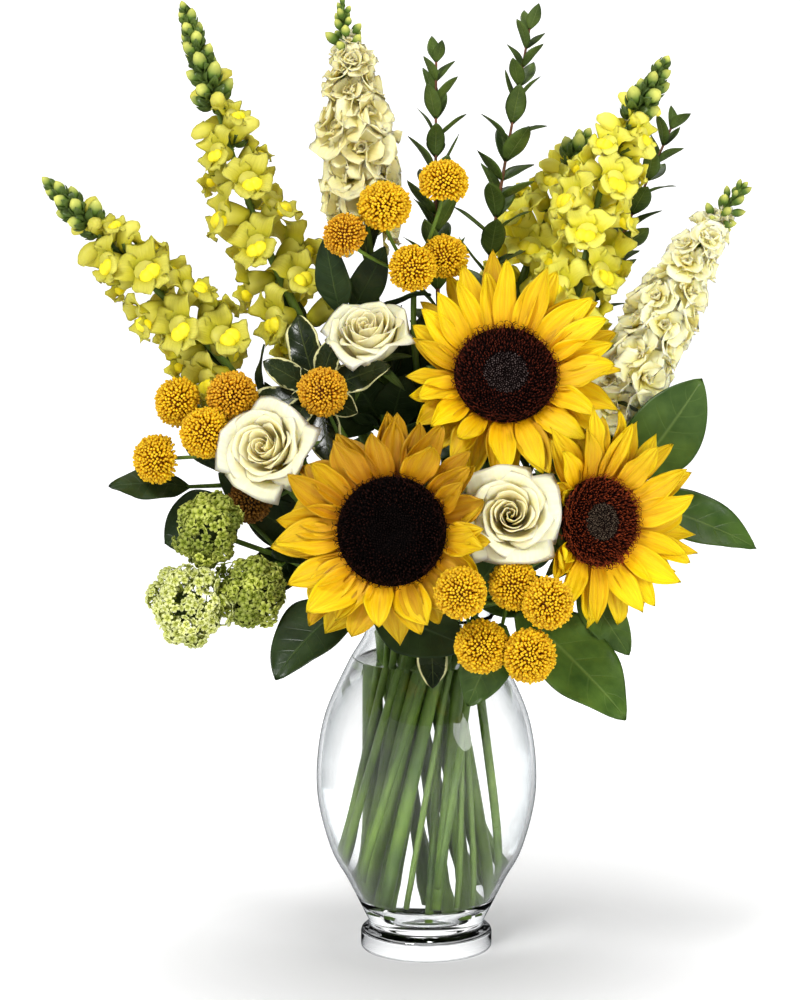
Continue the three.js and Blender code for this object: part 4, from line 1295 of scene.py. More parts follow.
@dataclass
class Vase:
    """The clear vase: a round belly on a solid foot, with a narrow neck and a rolled lip."""

    height: float = 214.0
    foot: float = 41.0
    foot_top: float = 13.0
    wall: float = 2.8
    floor: float = 19.0
    floor_radius: float = 22.0
    water_level: float = 184.0
    sides: int = 112
    profile: tuple[tuple[float, float], ...] = (
        (36, 17.5), (49, 44), (60.5, 66), (68.5, 103), (64.5, 144), (50, 179), (38.6, 199), (39.5, 207), (43, 214))

    def outer(self, count: int = 8) -> np.ndarray:
        """The outer side's line, as radius and height, from above the foot to the lip.

        Args:
            count: How many points stand for each of the profile's stretches.

        Returns:
            The points, in rows.
        """
        knots = np.array([self.profile[0], *self.profile, self.profile[-1]], float)
        line = []
        for a, b, c, d in zip(knots, knots[1:], knots[2:], knots[3:]):
            for w in np.arange(count) / count:
                bend = (2 * a - 5 * b + 4 * c - d) * w**2 + (3 * b - 3 * c + d - a) * w**3
                line.append(0.5 * (2 * b + (c - a) * w + bend))
        return np.array([*line, knots[-1]])

    def inner(self, inset: float) -> np.ndarray:
        """The inner side's line from the floor up, with a further inset.

        Args:
            inset: How far inside the wall it runs.

        Returns:
            The points, in rows of radius and height.
        """
        outer = self.outer()
        way = np.gradient(outer, axis=0)
        way /= np.linalg.norm(way, axis=1, keepdims=True)
        line = outer + np.stack([-way[:, 1], way[:, 0]], 1) * (self.wall + inset)
        line = line[(line[:, 1] > self.floor + 8) & (line[:, 1] < self.height - 1)]
        bowl = [(self.floor_radius * math.sin(a), self.floor + inset + 6 * (1 - math.cos(a)) ** 2)
                for a in np.linspace(0.0, math.pi / 2, 7)[1:]]
        return np.array([*bowl, *line])

    def solid_foot(self) -> Form:
        """The thick round foot that the bowl is joined to.

        Returns:
            The closed form.
        """
        foot, top = self.foot, self.foot_top
        base = [(0, 0), (foot * 0.5, 0), (foot - 2.4, 0), (foot - 0.9, 0.5), (foot - 0.2, 1.4), (foot, 2.8)]
        side = [(foot, 7), (foot, top - 3), (foot - 0.5, top - 1.2), (foot - 1.8, top), (foot - 3.6, top + 0.9)]
        return lathe([*base, *side, (foot - 4.8, top + 2.0), (foot - 6.5, top + 2.5), (0, top + 2.5)], self.sides)

    def glass(self) -> Form:
        """The vase's bowl, neck and lip.

        Returns:
            The closed form.
        """
        seam = self.foot_top + 2.56
        under = [(0, seam), (self.foot - 6.5, seam), (self.foot - 5.0, seam + 0.6)]
        lip = [(43.2, self.height - 0.9), (42.7, self.height - 0.2), (41.9, self.height), (41.0, self.height - 0.5)]
        inner = self.inner(0.0)
        outer = self.outer()[:-1]
        inside = [tuple(p) for p in inner[::-1]]
        return lathe([*under, *map(tuple, outer), *lip, *inside, (0, self.floor)], self.sides)

    def water(self) -> Form:
        """The water, filled to its level, with the rim that clings to the wall.

        Returns:
            The closed form.
        """
        wall = self.inner(0.15)
        wall = wall[wall[:, 1] < self.water_level]
        edge = wall[-1]
        top = [(edge[0] - 0.1, self.water_level + 0.7), (edge[0] - 1.2, self.water_level + 0.1)]
        level = [(edge[0] - 3.5, self.water_level - 0.35), (0, self.water_level - 0.4)]
        return lathe([(0, self.floor + 0.2), *map(tuple, wall), *top, *level], self.sides)

    def build(self) -> None:
        """Makes the vase and its water."""
        show("vase_bowl", Look.GLASS, self.glass(), "vase").visible_shadow = False
        show("vase_foot", Look.FOOT, self.solid_foot(), "vase").visible_shadow = False
        show("vase_water", Look.WATER, self.water(), "water").visible_shadow = False


@dataclass(frozen=True)
class Ray:
    """How a sunflower's rays look at one angle round it: degrees, millimetres and shares."""

    angle: float
    length: float
    width: float = 18.0
    lift: float = 10.0
    curl: float = -10.0
    # Its share of painted shade.
    shade: float = 0.2


@dataclass
class Sunflower:
    """A sunflower: a seed head, layered rays, a green calyx and its stem.

    RISE is the seed head's height as a share of its radius. Each layer of rays has a count, a lift in degrees,
    a height at its roots and a share of the ray's length.
    """

    RISE = 0.2

    name: str
    at: Vec
    face: Vec
    disc: float
    slot: tuple[str, float]
    onward: tuple[Vec, ...]
    seed: int
    head: Look
    eye: Look
    rays: tuple[Ray, ...]
    layers: tuple[tuple[int, float, float, float], ...] = (
        (15, 17, -2.4, 0.92), (15, 8, -3.4, 1.04), (14, -1, -4.6, 1.06))
    stem_radius: float = 4.6
    behind: tuple[float, float] = (52.0, 18.0)

    def ray_at(self, angle: float) -> Ray:
        """The ray's measures at an angle, between the two that are given on each side of it.

        Args:
            angle: The angle, in degrees.

        Returns:
            The measures there.
        """
        known = sorted(self.rays, key=lambda ray: ray.angle)
        wrapped = [*known, Ray(known[0].angle + 360, *list(vars(known[0]).values())[1:])]
        if angle % 360 < known[0].angle:
            angle += 360
        spots = [ray.angle for ray in wrapped]
        values = {k: np.interp(angle % 720, spots, [getattr(r, k) for r in wrapped]) for k in vars(known[0])}
        return Ray(**values)

    def petals(self) -> Form:
        """All the rays, layer behind layer.

        Returns:
            The rays, in the head's own frame.
        """
        shake = np.random.default_rng(self.seed)
        made = []
        for layer, (count, lift, root, share) in enumerate(self.layers):
            for i in range(count):
                angle = 360 * (i + 0.5 * (layer % 2) + shake.uniform(-0.22, 0.22)) / count + layer * 7
                ray = self.ray_at(angle % 360)
                if ray.length < 6:
                    continue
                blade = Blade(
                    length=ray.length * share * shake.uniform(0.9, 1.08),
                    width=ray.width * shake.uniform(0.72, 1.08),
                    thick=0.5, root_width=0.45, widest=shake.uniform(0.38, 0.54), point=shake.uniform(0.8, 1.1),
                    lift=ray.lift + lift + shake.uniform(-10, 10), curl=ray.curl + shake.uniform(-26, 18),
                    hook=shake.uniform(-45, 50), side_bend=shake.uniform(-12, 12), twist=shake.uniform(-38, 38),
                    cup=shake.uniform(0.05, 0.55), groove=shake.uniform(0.35, 0.95), wave=shake.uniform(0.4, 1.9),
                    waves=shake.uniform(1.2, 2.8), phase=shake.uniform(0, 1), rows=16, cols=13)
                # Painted shade: the share at this angle, more on each lower layer behind, with a random change.
                shade = np.clip(ray.shade + shake.uniform(-0.25, 0.3) + 0.12 * layer, 0, 1)
                place = turned(angle) @ moved(self.disc - 3.5 - layer * 0.8, 0, root + shake.uniform(-0.3, 0.3))
                made.append(blade.form().marked(tint=shade).placed(place))
        return Form.join(made)

    def florets(self, kind: str) -> list[Form]:
        """The templates of the seed head: closed buds, dark spikes, or open florets of the fringe.

        Args:
            kind: Which of them: bud, spike or open.

        Returns:
            The templates, along X.
        """
        made = []
        for i in range(3):
            if kind == "bud":
                made.append(bead(2.6 + 0.3 * i, 0.85, 5, 3, 0.5))
            elif kind == "spike":
                made.append(bead(4.6 + 0.4 * i, 0.8, 5, 3, 0.35))
            else:
                tube_form = bead(4.8 + 0.5 * i, 0.8, 5, 3, 0.55)
                arms = []
                for side in (-1, 1):
                    t = np.linspace(0, 1, 5)
                    curl = 1.9 * t + 0.3 * i
                    x = 4.2 + 0.4 * i + 2.2 * np.sin(curl * 0.8)
                    y = side * (0.2 + 1.5 * (1 - np.cos(curl)))
                    arms.append(tube(np.stack([x, y, 0.25 * side * t], 1), 0.34 - 0.2 * t, 4))
                arm = Form.join(arms)
                arm.values["along"] = 0.75 + 0.25 * arm.values["along"]
                made.append(Form.join([tube_form, arm]))
        return made

    def seeds(self) -> list[tuple[Look, bpy.types.Mesh]]:
        """The seed head's three zones, from its middle to its rim.

        Returns:
            Each zone's finish and its mesh in metres, in the head's own frame.
        """
        tree = Trees.get("disc")
        radius, rise = (self.disc - 1.8) * MM, self.disc * self.RISE * MM
        zones = (("bud", 330, 0.0, 0.45, 0.6, 0.75, self.eye), ("spike", 640, 0.45, 0.88, 0.66, 0.8, self.head),
                 ("open", 210, 0.86, 1.0, 0.62, 0.75, self.head))
        made = []
        for i, (kind, count, low, high, inner, outer, look) in enumerate(zones):
            made.append((look, tree.run(
                f"{self.name}_{kind}", self.florets(kind), Finish=look.material(), Seed=self.seed + i,
                Count=count, Radius=radius, Rise=rise, From=low, To=high, Splay=0.8, Inner_Size=inner,
                Outer_Size=outer, Vary=0.25, Lean=0.24)))
        return made

    def cushion(self) -> Form:
        """The dark dome that the florets stand on.

        Returns:
            The dome, in the head's own frame.
        """
        top = [(self.disc * r * 0.985, self.disc * self.RISE * math.sin(DISC_TURN * r + DISC_START) - 0.3)
               for r in np.linspace(1.0, 0.0, 9)]
        form = lathe([(0, -1.2), (self.disc * 0.9, -1.2), *top], 48)
        return form.marked(along=0.05, tint=0.5)

    def calyx(self) -> Form:
        """The green cup behind the rays.

        Returns:
            The cup, in the head's own frame.
        """
        d = self.disc
        line = [(0, -23.5), (self.stem_radius, -23), (self.stem_radius * 1.3, -20), (d * 0.45, -15.5),
                (d * 0.72, -12), (d * 0.92, -9), (d * 0.99, -6.5), (d * 0.9, -5.0), (0, -4.8)]
        cup = lathe(line, 40)
        return cup.marked(along=0.4, across=0.5, tint=0.3)

    def sepals(self) -> Form:
        """Two rows of pointed bracts behind the rays.

        Returns:
            The bracts, in the head's own frame.
        """
        shake = np.random.default_rng(self.seed + 40)
        made = []
        for row, (count, lift, reach) in enumerate(((13, -12, 26), (11, -30, 21))):
            for i in range(count):
                angle = 360 * (i + 0.5 * row + shake.uniform(-0.15, 0.15)) / count
                if self.ray_at(angle).length < 10:
                    reach *= 0.98
                blade = Blade(length=reach * shake.uniform(0.85, 1.1), width=9.5, thick=0.8, root_width=0.8,
                              widest=0.25, point=0.95, lift=lift + shake.uniform(-8, 8), curl=shake.uniform(-10, 25),
                              hook=shake.uniform(-30, 20), cup=0.2, side_bend=shake.uniform(-8, 8), rows=9, cols=7)
                place = turned(angle) @ moved(self.disc * 0.78, 0, -8.5 - 2.5 * row)
                made.append(blade.form().marked(tint=shake.uniform(0, 0.8)).placed(place))
        return Form.join(made)

    def build(self) -> None:
        """Makes the flower and its stem."""
        head_place = head_frame(self.at, self.face)
        node = f"sunflower_{self.name}"
        show(f"{self.name}_sunflower_rays", Look.RAY, self.petals().placed(head_place), f"{node}_petals")
        show(f"{self.name}_sunflower_cushion", self.head, self.cushion().placed(head_place), f"{node}_disc")
        for (look, mesh), zone in zip(self.seeds(), ("eye", "ring", "fringe")):
            show(f"{self.name}_sunflower_{zone}", look, put(mesh, head_place), f"{node}_disc")
        ends = [np.array(self.at) - head_place[:3, 2] * back for back in self.behind]
        stem = Route(self.slot, [*self.onward, *ends]).stem(self.stem_radius, 0.85, 14)
        show(f"{self.name}_sunflower_stem", Look.STEM, stem, f"{node}_stem")
        green = Form.join([self.calyx(), self.sepals()]).placed(head_place)
        show(f"{self.name}_sunflower_calyx", Look.CALYX, green, f"{node}_stem")


@dataclass(frozen=True)
class PetalRing:
    """One turn of a rose's petals, wrapped round its axis."""

    count: int
    inner: float
    outer: float
    height: float
    spread: float
    flare: float = 0.0
    roll: float = 0.0
    tuck: float = 1.5
    first: float = 0.0
    low: float = -20.0


ROSE_RINGS = (
    PetalRing(2, 1.2, 2.2, 11.5, 170, first=10, tuck=1.2, low=-14),
    PetalRing(3, 2.5, 4.6, 12.5, 130, flare=0.2, first=60, tuck=1.5, low=-16),
    PetalRing(3, 4.0, 7.4, 13.2, 125, flare=0.5, roll=0.2, first=10, tuck=1.7, low=-18),
    PetalRing(3, 5.0, 10.4, 13.0, 120, flare=1.2, roll=0.5, first=75, tuck=1.9),
    PetalRing(4, 6.0, 13.6, 11.8, 100, flare=2.4, roll=1.0, first=15, tuck=2.2),
    PetalRing(4, 6.5, 16.8, 9.2, 98, flare=4.4, roll=2.0, first=60, tuck=2.4),
    PetalRing(4, 7.0, 19.6, 5.6, 96, flare=7.2, roll=3.2, first=20, tuck=2.4),
)


@dataclass
class Rose:
    """A garden rose: petals wound about a tight heart, over a green hip with its sepals."""

    name: str
    at: Vec
    face: Vec
    slot: tuple[str, float]
    onward: tuple[Vec, ...]
    seed: int
    open: float = 1.0
    leaves: int = 7
    stem_radius: float = 3.0
    behind: tuple[float, float] = (58.0, 28.0)
    rings: tuple[PetalRing, ...] = ROSE_RINGS

    def petal(self, ring: PetalRing, turn: float, shake: np.random.Generator) -> Form:
        """One petal, wrapped round the axis from its root out to its rolled edge.

        Args:
            ring: The measures of its turn of petals.
            turn: Its angle round the axis, in degrees.
            shake: The flower's random numbers.

        Returns:
            The petal, in the head's own frame.
        """
        rows, cols = 13, 13
        t = np.linspace(0, 1, rows)[:, None]
        v = np.linspace(-1, 1, cols)[None]
        top = ring.height * shake.uniform(0.94, 1.04) - (0.16 + 0.05 * ring.roll) * ring.height * np.abs(v) ** 2.4
        top = top + 0.18 * np.sin(v * 5 + shake.uniform(0, 6)) * (1 + 0.4 * ring.roll)
        top = top + ring.roll * 1.7 * (1 - np.abs(v)) ** 2
        height = ring.low + (top - ring.low) * (1 - (1 - t) ** 1.35)
        belly = np.sin(np.clip(t * 1.45, 0, 1) * math.pi / 2)
        radius = ring.inner * 0.5 + (ring.outer * lerp(0.8, 1.0, self.open) - ring.inner * 0.5) * belly
        edge = smooth(0.55, 1.0, t)
        radius = radius + ring.flare * self.open * edge**1.4
        radius = radius + ring.roll * self.open * (smooth(0.78, 1.0, t) ** 1.5) * (0.7 + 1.1 * v**2)
        height = height - ring.roll * self.open * (smooth(0.82, 1.0, t) ** 1.5) * (0.6 + 1.3 * v**2) * 0.9
        radius = radius + ring.tuck * v * belly + 0.25 * np.sin(v * 7 + turn) * edge
        wide = 0.3 + 0.7 * np.sin(np.clip(t / 0.62, 0, 1) * math.pi / 2)
        wide = wide * (1 - 0.35 * smooth(0.7, 1.0, t) ** 1.5)
        a = np.radians(turn + v * ring.spread * 0.62 * wide)
        sheet = np.stack([radius * np.cos(a), radius * np.sin(a), height + 0 * a], -1)
        return shell(sheet[:, ::-1], 0.45)

    def bloom(self) -> Form:
        """All the petals.

        Returns:
            The petals, in the head's own frame.
        """
        shake = np.random.default_rng(self.seed)
        made = []
        for k, ring in enumerate(self.rings):
            for i in range(ring.count):
                turn = ring.first + self.seed * 31 + 360 * (i + shake.uniform(-0.08, 0.08)) / ring.count
                # Painted shade: most in the heart, less on each outer ring, with a small random change.
                shade = np.clip(0.75 - 0.12 * k + shake.uniform(-0.12, 0.12), 0, 1)
                made.append(self.petal(ring, turn, shake).marked(tint=shade))
        return Form.join(made)

    def hip(self) -> Form:
        """The green hip, with its turned-back sepals.

        Returns:
            The hip, in the head's own frame.
        """
        line = [(0, -33), (self.stem_radius, -32.5), (4.6, -30), (6.0, -26.5), (6.4, -23), (5.2, -20.5), (0, -19)]
        parts = [lathe(line, 20).marked(along=0.4, across=0.5, tint=0.2)]
        for i in range(5):
            blade = Blade(length=23 + 2 * math.sin(i * 2.2), width=6.5, thick=0.7, root_width=0.8, widest=0.25,
                          point=1.0, lift=-8, curl=-25 + 12 * math.sin(i * 1.7), cup=0.25, twist=14, rows=10, cols=7)
            place = turned(72 * i + 36) @ moved(4.5, 0, -22.5)
            parts.append(blade.form().marked(tint=0.3).placed(place))
        return Form.join(parts)

    def build(self) -> None:
        """Makes the rose and its stem."""
        head_place = head_frame(self.at, self.face)
        node = f"rose_{self.name}"
        show(f"{self.name}_rose_petals", Look.ROSE, self.bloom().placed(head_place), f"{node}_bloom")
        ends = [np.array(self.at) - head_place[:3, 2] * back for back in self.behind]
        route = Route(self.slot, [*self.onward, *ends])
        show(f"{self.name}_rose_stem", Look.STEM, route.stem(self.stem_radius, 0.9, 12), f"{node}_stem")
        leafy(f"{self.name}_rose_leaves", route, 6, self.leaves, 40, self.seed, f"{node}_stem")
        show(f"{self.name}_rose_hip", Look.CALYX, self.hip().placed(head_place), f"{node}_stem")


def leafy(name: str, route: Route, bare: float, count: int, reach: float, seed: int, node: str) -> None:
    """Sets leaves round a stem, from below its flowers down to just above the vase.

    Args:
        name: The piece's name.
        route: The stem's line.
        bare: How far down from the tip there are none, in millimetres.
        count: How many there are.
        reach: A leaf's length.
        seed: The seed of their turns.
        node: The solid that they stand for.
    """
    steps = np.linalg.norm(np.diff(route.line, axis=0), axis=1)
    above = route.line[1:, 2] > LOWEST_LEAF
    last = float(steps[above].sum())
    curve = route.curve(f"{name}_line")
    bpy.context.scene.collection.objects.link(curve)
    forms = []
    for i in range(4):
        blade = Blade(length=reach * (0.85 + 0.12 * i), width=reach * (0.3 + 0.03 * i), thick=0.7, root_width=0.16,
                      widest=0.45, point=0.85, lift=-8 + 6 * i, curl=-34 + 18 * i, cup=0.2, groove=-0.3, grooves=0.5,
                      wave=1.2, waves=1.6, phase=i * 0.3, twist=-20 + 13 * i, side_bend=6 - 4 * i, rows=12, cols=9)
        forms.append(blade.form().marked(tint=0.25 * i))
    mesh = Trees.get("spiral").run(
        name, forms, Stem=curve, Finish=Look.LEAF.material(), First=bare * MM, Last=last * MM, Count=count, Seed=seed,
        Start=math.radians(30 + 17 * seed), Tip_Slant=0.55, Low_Slant=1.0, Lean=0.3, Tip_Size=0.8, Low_Size=1.1,
        Full_At=0.6, Vary=0.15)
    show(name, Look.LEAF, mesh, node)


def spun(sheet: Form, angle: float, matrix: np.ndarray) -> Form:
    """A form moved by a matrix, then turned about X."""
    return sheet.placed(rolled(angle) @ matrix)


@dataclass
class Spike:
    """A flower spike: a stem, closed buds at its tip, and open florets below them."""

    name: str
    slot: tuple[str, float]
    route: tuple[Vec, ...]
    buds: float
    blooms: float
    seed: int
    stem_radius: float = 3.2
    kind: str = ""

    def stalk(self) -> tuple[Route, bpy.types.Object]:
        """The stem's line, and the curve object that the trees follow.

        Returns:
            The line, and the curve object.
        """
        route = Route(self.slot, self.route)
        curve = route.curve(f"{self.kind}_{self.name}_line")
        bpy.context.scene.collection.objects.link(curve)
        return route, curve

    def node(self) -> str:
        """The solid that the spike stands for."""
        return f"{self.kind}_{self.name}"

    def strew(self, part: str, look: Look, forms: list[Form], curve: bpy.types.Object, **values: float) -> None:
        """Sets templates along the stem with the spiral tree, and shows them.

        Args:
            part: The end of the piece's name.
            look: Its finish.
            forms: The templates.
            curve: The stem's curve.
            values: The tree's other inputs.
        """
        name = f"{self.name}_{self.kind}_{part}"
        mesh = Trees.get("spiral").run(name, forms, Stem=curve, Finish=look.material(), **values)
        show(name, look, mesh, self.node())

    def stem(self, route: Route, tip: float, look: Look = Look.STEM) -> None:
        """Shows the spike's own stem."""
        show(f"{self.name}_{self.kind}_stem", look, route.stem(self.stem_radius, tip, 12), self.node())


@dataclass
class Snapdragon(Spike):
    """A snapdragon: tight green buds, hooded buds, then wide-lipped florets with a bright palate.

    MADE_FOR is the size of a floret as its template is made, and BUD_PITCH the stem's length to a bud.
    """

    MADE_FOR = 31.0
    BUD_PITCH = 3.6

    kind: str = "snapdragon"
    floret_count: int = 20
    floret_size: float = 38.5
    look: Look = Look.LIP

    @staticmethod
    def calyx(length: float, reach: float) -> Form:
        """A short flower stalk with five small sepals, along X.

        Args:
            length: The stalk's length.
            reach: A sepal's length.

        Returns:
            The template.
        """
        stalk = tube(np.array([[0, 0, 0], [length * 0.5, 0, -0.3], [length, 0, 0]]), np.array([0.8, 0.8, 1.3]), 6)
        parts = [stalk.marked(tint=0.3, across=0.5)]
        for i in range(5):
            leaf = Blade(length=reach, width=reach * 0.62, thick=0.5, root_width=0.7, widest=0.35, point=0.8, lift=52,
                         curl=-62, cup=0.4, rows=6, cols=5).form().marked(tint=0.2)
            parts.append(spun(leaf, 72 * i, moved(length, 0, 0.6)))
        return Form.join(parts)

    @staticmethod
    def corolla(variant: int, open_share: float) -> Form:
        """A floret's throat and lips, along X, with its upper lip to +Z.

        Args:
            variant: The template's number, which seeds it.
            open_share: How far the lips have opened.

        Returns:
            The template.
        """
        s = np.random.default_rng(60 + variant)
        t = np.linspace(0, 1, 9)
        line = np.stack([3 + 14 * t, 0 * t, 1.5 * np.sin(t * 2.4)], 1)
        radii = np.interp(t, (0, 0.12, 0.5, 0.85, 1), (1.8, 4.2, 5.2, 6.2, 5.4))
        parts = [tube(line, radii, 12).marked(tint=0.35, across=0.3)]
        for side in (-1, 1):
            lobe = Blade(length=14.5 * (0.75 + 0.25 * open_share) * s.uniform(0.92, 1.08), width=15, thick=0.5,
                         root_width=0.72, widest=0.62, point=0.42, lift=34 + 8 * open_share + s.uniform(-8, 8),
                         curl=22 + 52 * open_share, hook=52 * open_share, cup=-0.32, wave=1.5, waves=1.7,
                         phase=s.uniform(0, 1), side_bend=12 * side, rows=10, cols=9)
            shade = 0.1 + s.uniform(0, 0.25)
            parts.append(spun(lobe.form().marked(tint=shade), -27 * side, moved(13.0, 0, 4.6)))
        for side in (-1, 0, 1):
            lobe = Blade(length=(10.5 if side else 9.5) * s.uniform(0.9, 1.1), width=11.5 if side else 9.5, thick=0.5,
                         root_width=0.7, widest=0.58, point=0.5, lift=4 + 12 * open_share, curl=82 + 52 * open_share,
                         hook=20, cup=-0.25, wave=1.5, waves=1.9, phase=s.uniform(0, 1), rows=9, cols=8)
            shade = 0.15 + s.uniform(0, 0.3)
            parts.append(spun(lobe.form().marked(tint=shade), 180 + 52 * side, moved(16.0, 0, 4.6 if side else 5.6)))
        return Form.join(parts)

    @staticmethod
    def palate() -> Form:
        """The two bright bulges that close a floret's mouth.

        Returns:
            The template, along X.
        """
        parts = []
        for side in (-1, 1):
            bulge = bead(8.4, 4.3, 10, 7, 0.58).marked(tint=0.1, across=0.4)
            parts.append(bulge.placed(moved(13.4, side * 1.9, -1.9) @ tipped(10)))
        return Form.join(parts)

    @staticmethod
    def hooded(variant: int) -> Form:
        """A bud about to open: a pale, hooked drop.

        Args:
            variant: The template's number.

        Returns:
            The template.
        """
        t = np.linspace(0, 1, 10)
        line = np.stack([2 + 14 * t, 0 * t, 2.6 * np.sin(t * 2.6) - (3.0 + variant) * t**3], 1)
        radii = np.interp(t, (0, 0.2, 0.6, 0.85, 1), (1.2, 3.0, 3.9, 3.4, 1.6))
        return tube(line, radii, 10).marked(tint=0.15 * variant)

    def build(self) -> None:
        """Makes the spike."""
        route, curve = self.stalk()
        self.stem(route, 0.38)
        leafy(f"{self.name}_snapdragon_leaves", route, self.buds + self.blooms - 8, 11, 42, self.seed, self.node())
        full = (self.buds + self.blooms) * MM
        low, size = self.buds * MM, self.floret_size / self.MADE_FOR
        opened = {"First": low + 0.006, "Last": full - 0.006, "Count": self.floret_count, "Seed": self.seed,
                  "Start": math.radians(20 + self.seed), "Tip_Slant": 1.08, "Low_Slant": 1.32, "Lean": 0.14,
                  "Tip_Size": 0.68 * size, "Low_Size": 1.0 * size, "Full_At": 0.4, "Vary": 0.08}
        corollas = [self.corolla(i, share) for i, share in enumerate((0.7, 1.0, 1.15))]
        self.strew("florets", self.look, corollas, curve, **opened)
        self.strew("palates", Look.PALATE, [self.palate()] * 3, curve, **opened)
        self.strew("calyces", Look.CALYX, [self.calyx(3.5, 5.5)] * 3, curve, **opened)
        hooded = {"First": low * 0.74, "Last": low + 0.016, "Count": 6, "Seed": self.seed + 1,
                  "Start": math.radians(70 + self.seed), "Tip_Slant": 0.85, "Low_Slant": 1.1, "Lean": 0.1,
                  "Tip_Size": 0.82 * size, "Low_Size": 1.2 * size, "Full_At": 1.0, "Vary": 0.08}
        self.strew("hoods", self.look, [self.hooded(i) for i in range(3)], curve, **hooded)
        self.strew("hood_calyces", Look.CALYX, [self.calyx(2.5, 6.2)] * 3, curve, **hooded)
        count = max(9, round(self.buds / self.BUD_PITCH))
        closed = {"First": 0.005, "Last": low * 0.84, "Count": count, "Seed": self.seed + 2,
                  "Start": math.radians(10), "Tip_Slant": 0.3, "Low_Slant": 0.95, "Lean": 0.1,
                  "Tip_Size": 0.66 * size, "Low_Size": 1.12 * size, "Full_At": 0.7, "Vary": 0.1}
        drops = [bead(9.5 + i, 3.3, 9, 7, 0.52).marked(tint=0.2 * i).placed(moved(1.6, 0, 0)) for i in range(3)]
        self.strew("buds", Look.BUD, drops, curve, **closed)
        self.strew("bud_calyces", Look.CALYX, [self.calyx(1.6, 7.6)] * 3, curve, **closed)


@dataclass
class Stock(Spike):
    """A stock: green buds, opening buds, and crowded double florets."""

    kind: str = "stock"
    stem_radius: float = 3.6
    floret_count: int = 25
    floret_size: float = 1.0
    look: Look = Look.STOCK

    @staticmethod
    def floret(variant: int, closed: float = 0.0) -> Form:
        """A double floret along X: broad, cupped petals round a crumpled heart.

        Args:
            variant: The template's number, which seeds it.
            closed: The degrees by which its petals are raised.

        Returns:
            The template.
        """
        s = np.random.default_rng(80 + variant)
        parts = []
        rings = ((4, 17.0, 19.5, 16, -8, 9.2), (4, 12.5, 14.5, 40, -6, 9.9), (3, 6.5, 7.0, 60, 14, 10.6),
                 (3, 4.2, 4.4, 74, 20, 11.0))
        for k, (count, length, width, lift, curl, root) in enumerate(rings):
            for i in range(count):
                petal = Blade(length=length * s.uniform(0.85, 1.1), width=width * s.uniform(0.9, 1.1), thick=0.45,
                              root_width=0.25, widest=0.66, point=0.4, lift=lift + closed + s.uniform(-13, 13),
                              curl=curl + s.uniform(-18, 22), hook=s.uniform(-50, 25), cup=s.uniform(0.05, 0.4),
                              groove=0.3, grooves=0.5, wave=s.uniform(0.9, 2.2), waves=s.uniform(1.2, 2.4),
                              phase=s.uniform(0, 1), twist=s.uniform(-22, 22), rows=8, cols=8)
                # Painted shade: more on each inner ring, with a small random change.
                form = petal.form().marked(tint=np.clip(0.05 + 0.2 * k + s.uniform(-0.1, 0.15), 0, 1))
                turn = 360 * (i + 0.5 * (k % 2)) / count + s.uniform(-16, 16)
                parts.append(form.placed(moved(root, 0, 0) @ tipped(90) @ turned(turn) @ moved(0.6, 0, 0)))
        return Form.join(parts)

    @staticmethod
    def core() -> Form:
        """A floret's green stalk and calyx, along X.

        Returns:
            The template.
        """
        line = np.stack([np.linspace(0, 10.5, 6), np.zeros(6), np.zeros(6)], 1)
        stalk = tube(line, np.array([0.7, 0.7, 0.9, 1.9, 2.0, 1.4]), 7)
        return stalk.marked(across=0.5, tint=0.1)

    def build(self) -> None:
        """Makes the spike."""
        route, curve = self.stalk()
        self.stem(route, 0.4)
        leafy(f"{self.name}_stock_leaves", route, self.buds + self.blooms - 6, 13, 46, self.seed, self.node())
        low, full = self.buds * MM, (self.buds + self.blooms) * MM
        opened = {"First": low, "Last": full - 0.006, "Count": self.floret_count, "Seed": self.seed,
                  "Start": math.radians(20), "Tip_Slant": 0.95, "Low_Slant": 1.4, "Lean": 0.3,
                  "Tip_Size": 0.78 * self.floret_size, "Low_Size": 1.16 * self.floret_size, "Full_At": 0.4,
                  "Vary": 0.13}
        self.strew("florets", self.look, [self.floret(i) for i in range(4)], curve, **opened)
        self.strew("cores", Look.CALYX, [self.core()] * 4, curve, **opened)
        half = {"First": low * 0.66, "Last": low + 0.004, "Count": 7, "Seed": self.seed + 1,
                "Start": math.radians(40), "Tip_Slant": 0.55, "Low_Slant": 0.95, "Lean": 0.2,
                "Tip_Size": 0.5, "Low_Size": 0.74, "Full_At": 1.0, "Vary": 0.12}
        self.strew("opening_buds", self.look, [self.floret(i, 26) for i in range(4, 7)], curve, **half)
        self.strew("opening_cores", Look.CALYX, [self.core()] * 3, curve, **half)
        closed = {"First": 0.004, "Last": low * 0.82, "Count": 20, "Seed": self.seed + 2, "Start": 0.3,
                  "Tip_Slant": 0.4, "Low_Slant": 0.95, "Lean": 0.2, "Tip_Size": 0.7, "Low_Size": 1.2,
                  "Full_At": 0.8, "Vary": 0.14}
        pips = [bead(8 + i, 2.5, 7, 6, 0.5).marked(tint=0.3 + 0.2 * i).placed(moved(4, 0, 0)) for i in range(3)]
        self.strew("buds", Look.BUD, pips, curve, **closed)
        self.strew("bud_cores", Look.CALYX, [self.core()] * 3, curve, **(closed | {"Vary": 0.1}))


